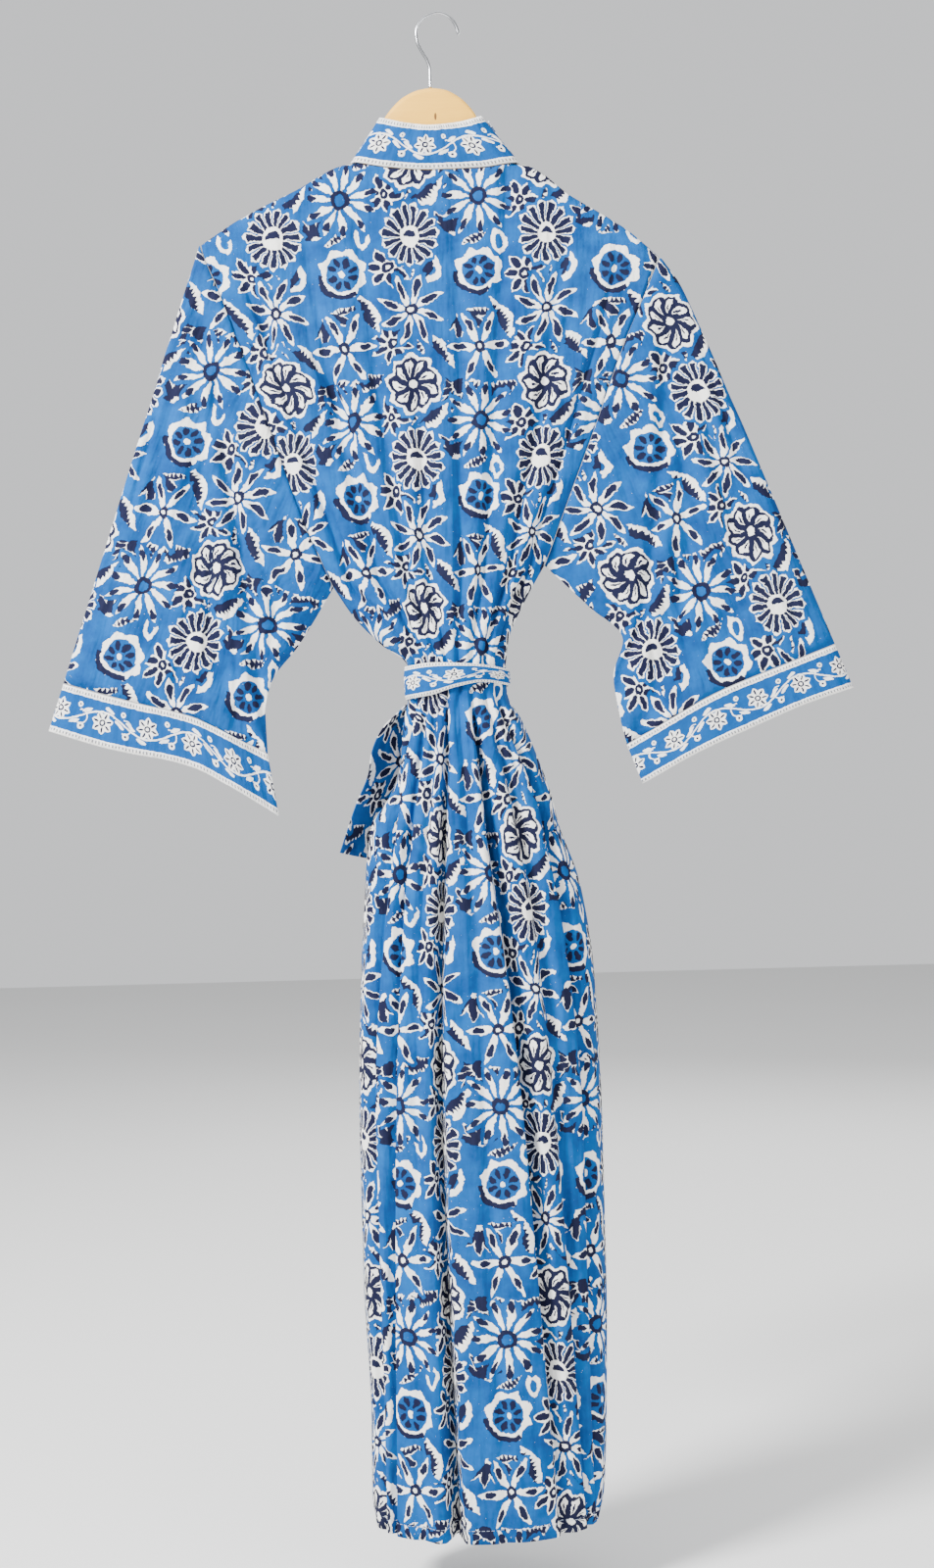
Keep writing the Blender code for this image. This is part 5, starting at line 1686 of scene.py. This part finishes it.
class RobeColours(bpy.types.PropertyGroup):
    """The colours a user may change, in linear values."""

    azure: tint("Azure", "The printed ground", 0.000, 0.060, 0.245)
    light: tint("Light azure", "The ground's light mottling", 0.000, 0.128, 0.420)
    deep: tint("Deep azure", "The ground's deep mottling", 0.000, 0.030, 0.140)
    navy: tint("Navy", "The printed strokes", 0.006, 0.007, 0.030)
    cream: tint("Cream", "The unprinted cotton", 0.90, 0.89, 0.85)
    reverse: tint("Reverse", "The cloth's paler reverse side", 0.42, 0.56, 0.78)
    shade: tint("Washed tone", "A faint uneven tone of washed cotton", 0.30, 0.36, 0.46)
    wood_light: tint("Light wood", "The hanger's pale grain", 0.98, 0.56, 0.07)
    wood_dark: tint("Dark wood", "The hanger's darker grain", 0.80, 0.40, 0.04)
    steel: tint("Steel", "The hook's wire", 0.58, 0.59, 0.61)
    steel_dull: tint("Dull steel", "Dull patches on the wire", 0.48, 0.49, 0.51)


def colours():
    group = bpy.context.scene.robe_colours
    return {name: tuple(getattr(group, name)) for name in RobeColours.__annotations__}


# Each finish by what it is for: the name of its material, and its maker.
MAKERS = {
    "printed_cotton": ("block_print_cotton", block_print),
    "border_print": ("border_strip_cotton", border_print),
    "pale_wood": ("satin_wood", pale_wood),
    "bright_steel": ("drawn_wire", bright_steel),
    "sewing_thread": ("sewing_thread", thread),
    "floor_paint": ("floor_paint", floor_paint),
}


def finish_of(use):
    name, maker = MAKERS[use]
    return bpy.data.materials.get(name) or maker(colours())


def declare(made, node):
    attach(made, "root")
    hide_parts(node)
    return made


# The cut of the cloth that shows, flat: width, length and area in metres and square metres.
Cut = namedtuple("Cut", "width length area")


def hung_cloth(node, grid, places, slot_name, thickness, closed=False, flip=False, seams=(),
               reverse=1.0):
    """One piece of the robe's cloth in place of its solid, declared."""
    made = cloth("cloth_" + node, grid, places, finish_of(slot_name), thickness / MM, closed, flip, seams,
                 reverse)
    declare(made, node)
    return made


class RobePiece:
    """What the operators share: the undo flag and the sizes."""

    bl_options = {"REGISTER", "UNDO"}

    @staticmethod
    def sizes():
        return bpy.context.scene.robe_sizes


class ROBE_OT_body(RobePiece, bpy.types.Operator):
    """Build the back and the two fronts"""

    bl_idname = "robe.body"
    bl_label = "Back and fronts"

    def execute(self, context):
        thickness = self.sizes().cloth_thickness
        back, places = back_grid()
        hung_cloth("back_panel", back, places, "printed_cotton", thickness,
                   seams=("first column", "last column"))
        grid, places = front_grid("left")
        hung_cloth("front_panel_left", grid, places, "printed_cotton", thickness,
                   flip=True, seams=("last column",))
        hem = [(surface_line(grid, row=-3, flip=True, seams=("last column",)), False)]
        grid, places = front_grid("right")
        hung_cloth("front_panel_right", grid, places, "printed_cotton", thickness,
                   seams=("first column",))
        hem.append((surface_line(grid, row=-3, seams=("first column",)), False))
        hem.append((surface_line(back, row=-3, seams=("first column", "last column")), False))
        stitched("sewn_hem", hem, self.sizes())
        return {"FINISHED"}


class ROBE_OT_sleeves(RobePiece, bpy.types.Operator):
    """Build the sleeves and their border cuffs"""

    bl_idname = "robe.sleeves"
    bl_label = "Sleeves and cuffs"

    def execute(self, context):
        for side in SLEEVES:
            flip = side == "right"
            grid, places = sleeve_grid(side)
            hung_cloth("sleeve_" + side, grid, places, "printed_cotton", self.sizes().cloth_thickness,
                       closed=True, flip=flip)
            grid, places = cuff_grid(side)
            hung_cloth("cuff_band_" + side, grid, places, "border_print", self.sizes().band_thickness,
                       closed=True, flip=flip)
            rings = [(surface_line(grid, row=row, closed=True, flip=flip), True) for row in (1, -2)]
            stitched("sewn_cuff_" + side, rings, self.sizes())
        return {"FINISHED"}


class ROBE_OT_borders(RobePiece, bpy.types.Operator):
    """Build the collar and the front bands"""

    bl_idname = "robe.borders"
    bl_label = "Collar and front bands"

    def execute(self, context):
        thickness = self.sizes().band_thickness
        grid, places = collar_grid()
        hung_cloth("collar_back", grid, places, "border_print", thickness,
                   seams=("first column", "last column"))
        lines = [(surface_line(grid, row=row, seams=("first column", "last column")), False)
                 for row in (1, -2)]
        stitched("sewn_collar", lines, self.sizes())
        for side in ("left", "right"):
            grid, places = front_band_grid(side)
            flip = side == "left"
            hung_cloth("front_band_" + side, grid, places, "border_print", thickness,
                       flip=flip)
            lines = [(surface_line(grid, column=column, flip=flip), False) for column in (1, -2)]
            stitched("sewn_front_band_" + side, lines, self.sizes())
        return {"FINISHED"}


class ROBE_OT_belt(RobePiece, bpy.types.Operator):
    """Build the belt, its knot and its two ends"""

    bl_idname = "robe.belt"
    bl_label = "Belt"

    def execute(self, context):
        thickness = self.sizes().band_thickness
        knot = loft("cloth_belt_knot", knot_rings(), finish_of("border_print"))
        strip_places(knot)
        declare(knot, "belt_knot")
        grid, places = belt_grid()
        hung_cloth("belt_band", grid, places, "border_print", thickness,
                   closed=True)
        rings = [(surface_line(grid, row=row, closed=True), True) for row in (1, -2)]
        stitched("sewn_belt", rings, self.sizes())
        for number, table in enumerate(BELT_TAILS, 1):
            grid, places = tail_grid(table)
            hung_cloth("belt_tail_%d" % number, grid, places, "border_print", thickness)
        return {"FINISHED"}


class ROBE_OT_pocket(RobePiece, bpy.types.Operator):
    """Build the pocket bag that hangs out below the belt"""

    bl_idname = "robe.pocket"
    bl_label = "Pocket bag"

    def execute(self, context):
        grid, places = pocket_grid()
        hung_cloth("pocket_left", grid, places, "printed_cotton", self.sizes().cloth_thickness,
                   reverse=0.0)
        return {"FINISHED"}


class ROBE_OT_hanger(RobePiece, bpy.types.Operator):
    """Build the wooden hanger and its wire hook"""

    bl_idname = "robe.hanger"
    bl_label = "Hanger"

    def execute(self, context):
        wood = loft("shaped_hanger_wood", wood_rings(), finish_of("pale_wood"))
        declare(wood, "hanger_wood")
        hook = loft("drawn_hanger_hook", hook_rings(), finish_of("bright_steel"))
        declare(hook, "hanger_hook")
        return {"FINISHED"}


def strip_places(made):
    """Places on the border strip for a wrapped form: along by its turn, across by its height."""
    mesh = made.data
    layer = mesh.uv_layers.new(name="cloth")
    spots = np.empty(len(mesh.vertices) * 3)
    mesh.vertices.foreach_get("co", spots)
    spots = spots.reshape(-1, 3)
    corner = np.empty(len(mesh.loops), int)
    mesh.loops.foreach_get("vertex_index", corner)
    middle = spots.mean(axis=0)
    places = np.stack([spots[:, 0] + 0.4 * spots[:, 1], (spots[:, 2] - middle[2]) * 1.2], axis=1)
    layer.data.foreach_set("uv", places[corner].ravel())


class ROBE_OT_stage(RobePiece, bpy.types.Operator):
    """Set up the floor, the lights and the camera"""

    bl_idname = "robe.stage"
    bl_label = "Stage"

    def execute(self, context):
        floor_z = CAD_BOX[0][2] - 0.06
        mesh = bpy.data.meshes.new("floor")
        wide = 6.0
        mesh.from_pydata([(-wide, -wide, floor_z), (wide, -wide, floor_z), (wide, wide, floor_z),
                          (-wide, wide, floor_z)], [], [(0, 1, 2, 3)])
        mesh.materials.append(finish_of("floor_paint"))
        floor = linked("floor", mesh)
        middle = 0.5 * (CAD_BOX[0][2] + CAD_BOX[1][2])
        lamps = [
            ("key", (-2.1, -1.7, middle + 1.9), 0.9, 305.0),
            ("fill", (2.3, -2.4, middle + 0.3), 2.6, 68.0),
            ("rim", (0.8, 2.4, middle + 1.3), 2.0, 40.0),
            ("top", (0.0, -0.4, middle + 2.4), 2.6, 26.0),
        ]
        for name, place, size, power in lamps:
            lamp = bpy.data.lights.new(name, "AREA")
            lamp.shape = "DISK"
            lamp.size = size
            lamp.energy = power
            made = linked(name, lamp)
            target = Vector((0.0, 0.0, middle))
            made.location = place
            made.rotation_euler = (target - Vector(place)).to_track_quat("-Z", "Y").to_euler()
        world = bpy.data.worlds.new("studio")
        world.use_nodes = True
        background = world.node_tree.nodes["Background"]
        background.inputs[0].default_value = (0.94, 0.95, 0.97, 1.0)
        seen = world.node_tree.nodes.new("ShaderNodeLightPath")
        strength = world.node_tree.nodes.new("ShaderNodeMapRange")
        strength.inputs["To Min"].default_value = 0.62
        strength.inputs["To Max"].default_value = 0.9
        world.node_tree.links.new(seen.outputs["Is Camera Ray"], strength.inputs["Value"])
        world.node_tree.links.new(strength.outputs[0], background.inputs[1])
        context.scene.world = world
        camera = bpy.data.cameras.new("photo_view")
        camera.sensor_fit = "AUTO"
        camera.sensor_width = 36.0
        camera.lens = 36.0 * CAMERA_DISTANCE / FRAME_HEIGHT
        made = linked("photo_view", camera)
        roll = CAMERA_ROLL
        right = Vector((math.cos(roll), 0.0, -math.sin(roll)))
        up = Vector((math.sin(roll), 0.0, math.cos(roll)))
        back = right.cross(up)
        turned = Matrix((right, up, back)).transposed().to_4x4()
        turned.translation = Vector((CAMERA_AIM[0], -CAMERA_DISTANCE, CAMERA_AIM[1]))
        made.matrix_world = turned
        context.scene.camera = made
        return {"FINISHED"}


# The camera looks along +Y at the garment's back, level with its middle.
CAMERA_DISTANCE = 1.9
FRAME_HEIGHT = 1.472
CAMERA_ROLL = math.radians(1.5)
CAMERA_AIM = (0.0082, -0.7231)


class ROBE_PT_panel(bpy.types.Panel):
    """The robe's makers, sizes and colours"""

    bl_label = "Kimono robe"
    bl_space_type = "VIEW_3D"
    bl_region_type = "UI"
    bl_category = "Robe"

    def draw(self, context):
        column = self.layout.column()
        for maker in PIECE_MAKERS:
            column.operator(maker.bl_idname)
        for group in (context.scene.robe_sizes, context.scene.robe_colours):
            for name in type(group).__annotations__:
                column.prop(group, name)


PIECE_MAKERS = [ROBE_OT_body, ROBE_OT_sleeves, ROBE_OT_borders, ROBE_OT_belt, ROBE_OT_pocket,
                ROBE_OT_hanger, ROBE_OT_stage]
CLASSES = [RobeSizes, RobeColours] + PIECE_MAKERS + [ROBE_PT_panel]


def register():
    for kind in CLASSES:
        bpy.utils.register_class(kind)
    bpy.types.Scene.robe_sizes = PointerProperty(type=RobeSizes)
    bpy.types.Scene.robe_colours = PointerProperty(type=RobeColours)


def unregister():
    del bpy.types.Scene.robe_colours
    del bpy.types.Scene.robe_sizes
    for kind in reversed(CLASSES):
        bpy.utils.unregister_class(kind)


def main():
    register()
    bpy.ops.robe.body()
    bpy.ops.robe.sleeves()
    bpy.ops.robe.borders()
    bpy.ops.robe.belt()
    bpy.ops.robe.pocket()
    bpy.ops.robe.hanger()
    bpy.ops.robe.stage()


if __name__ == "__main__":
    main()
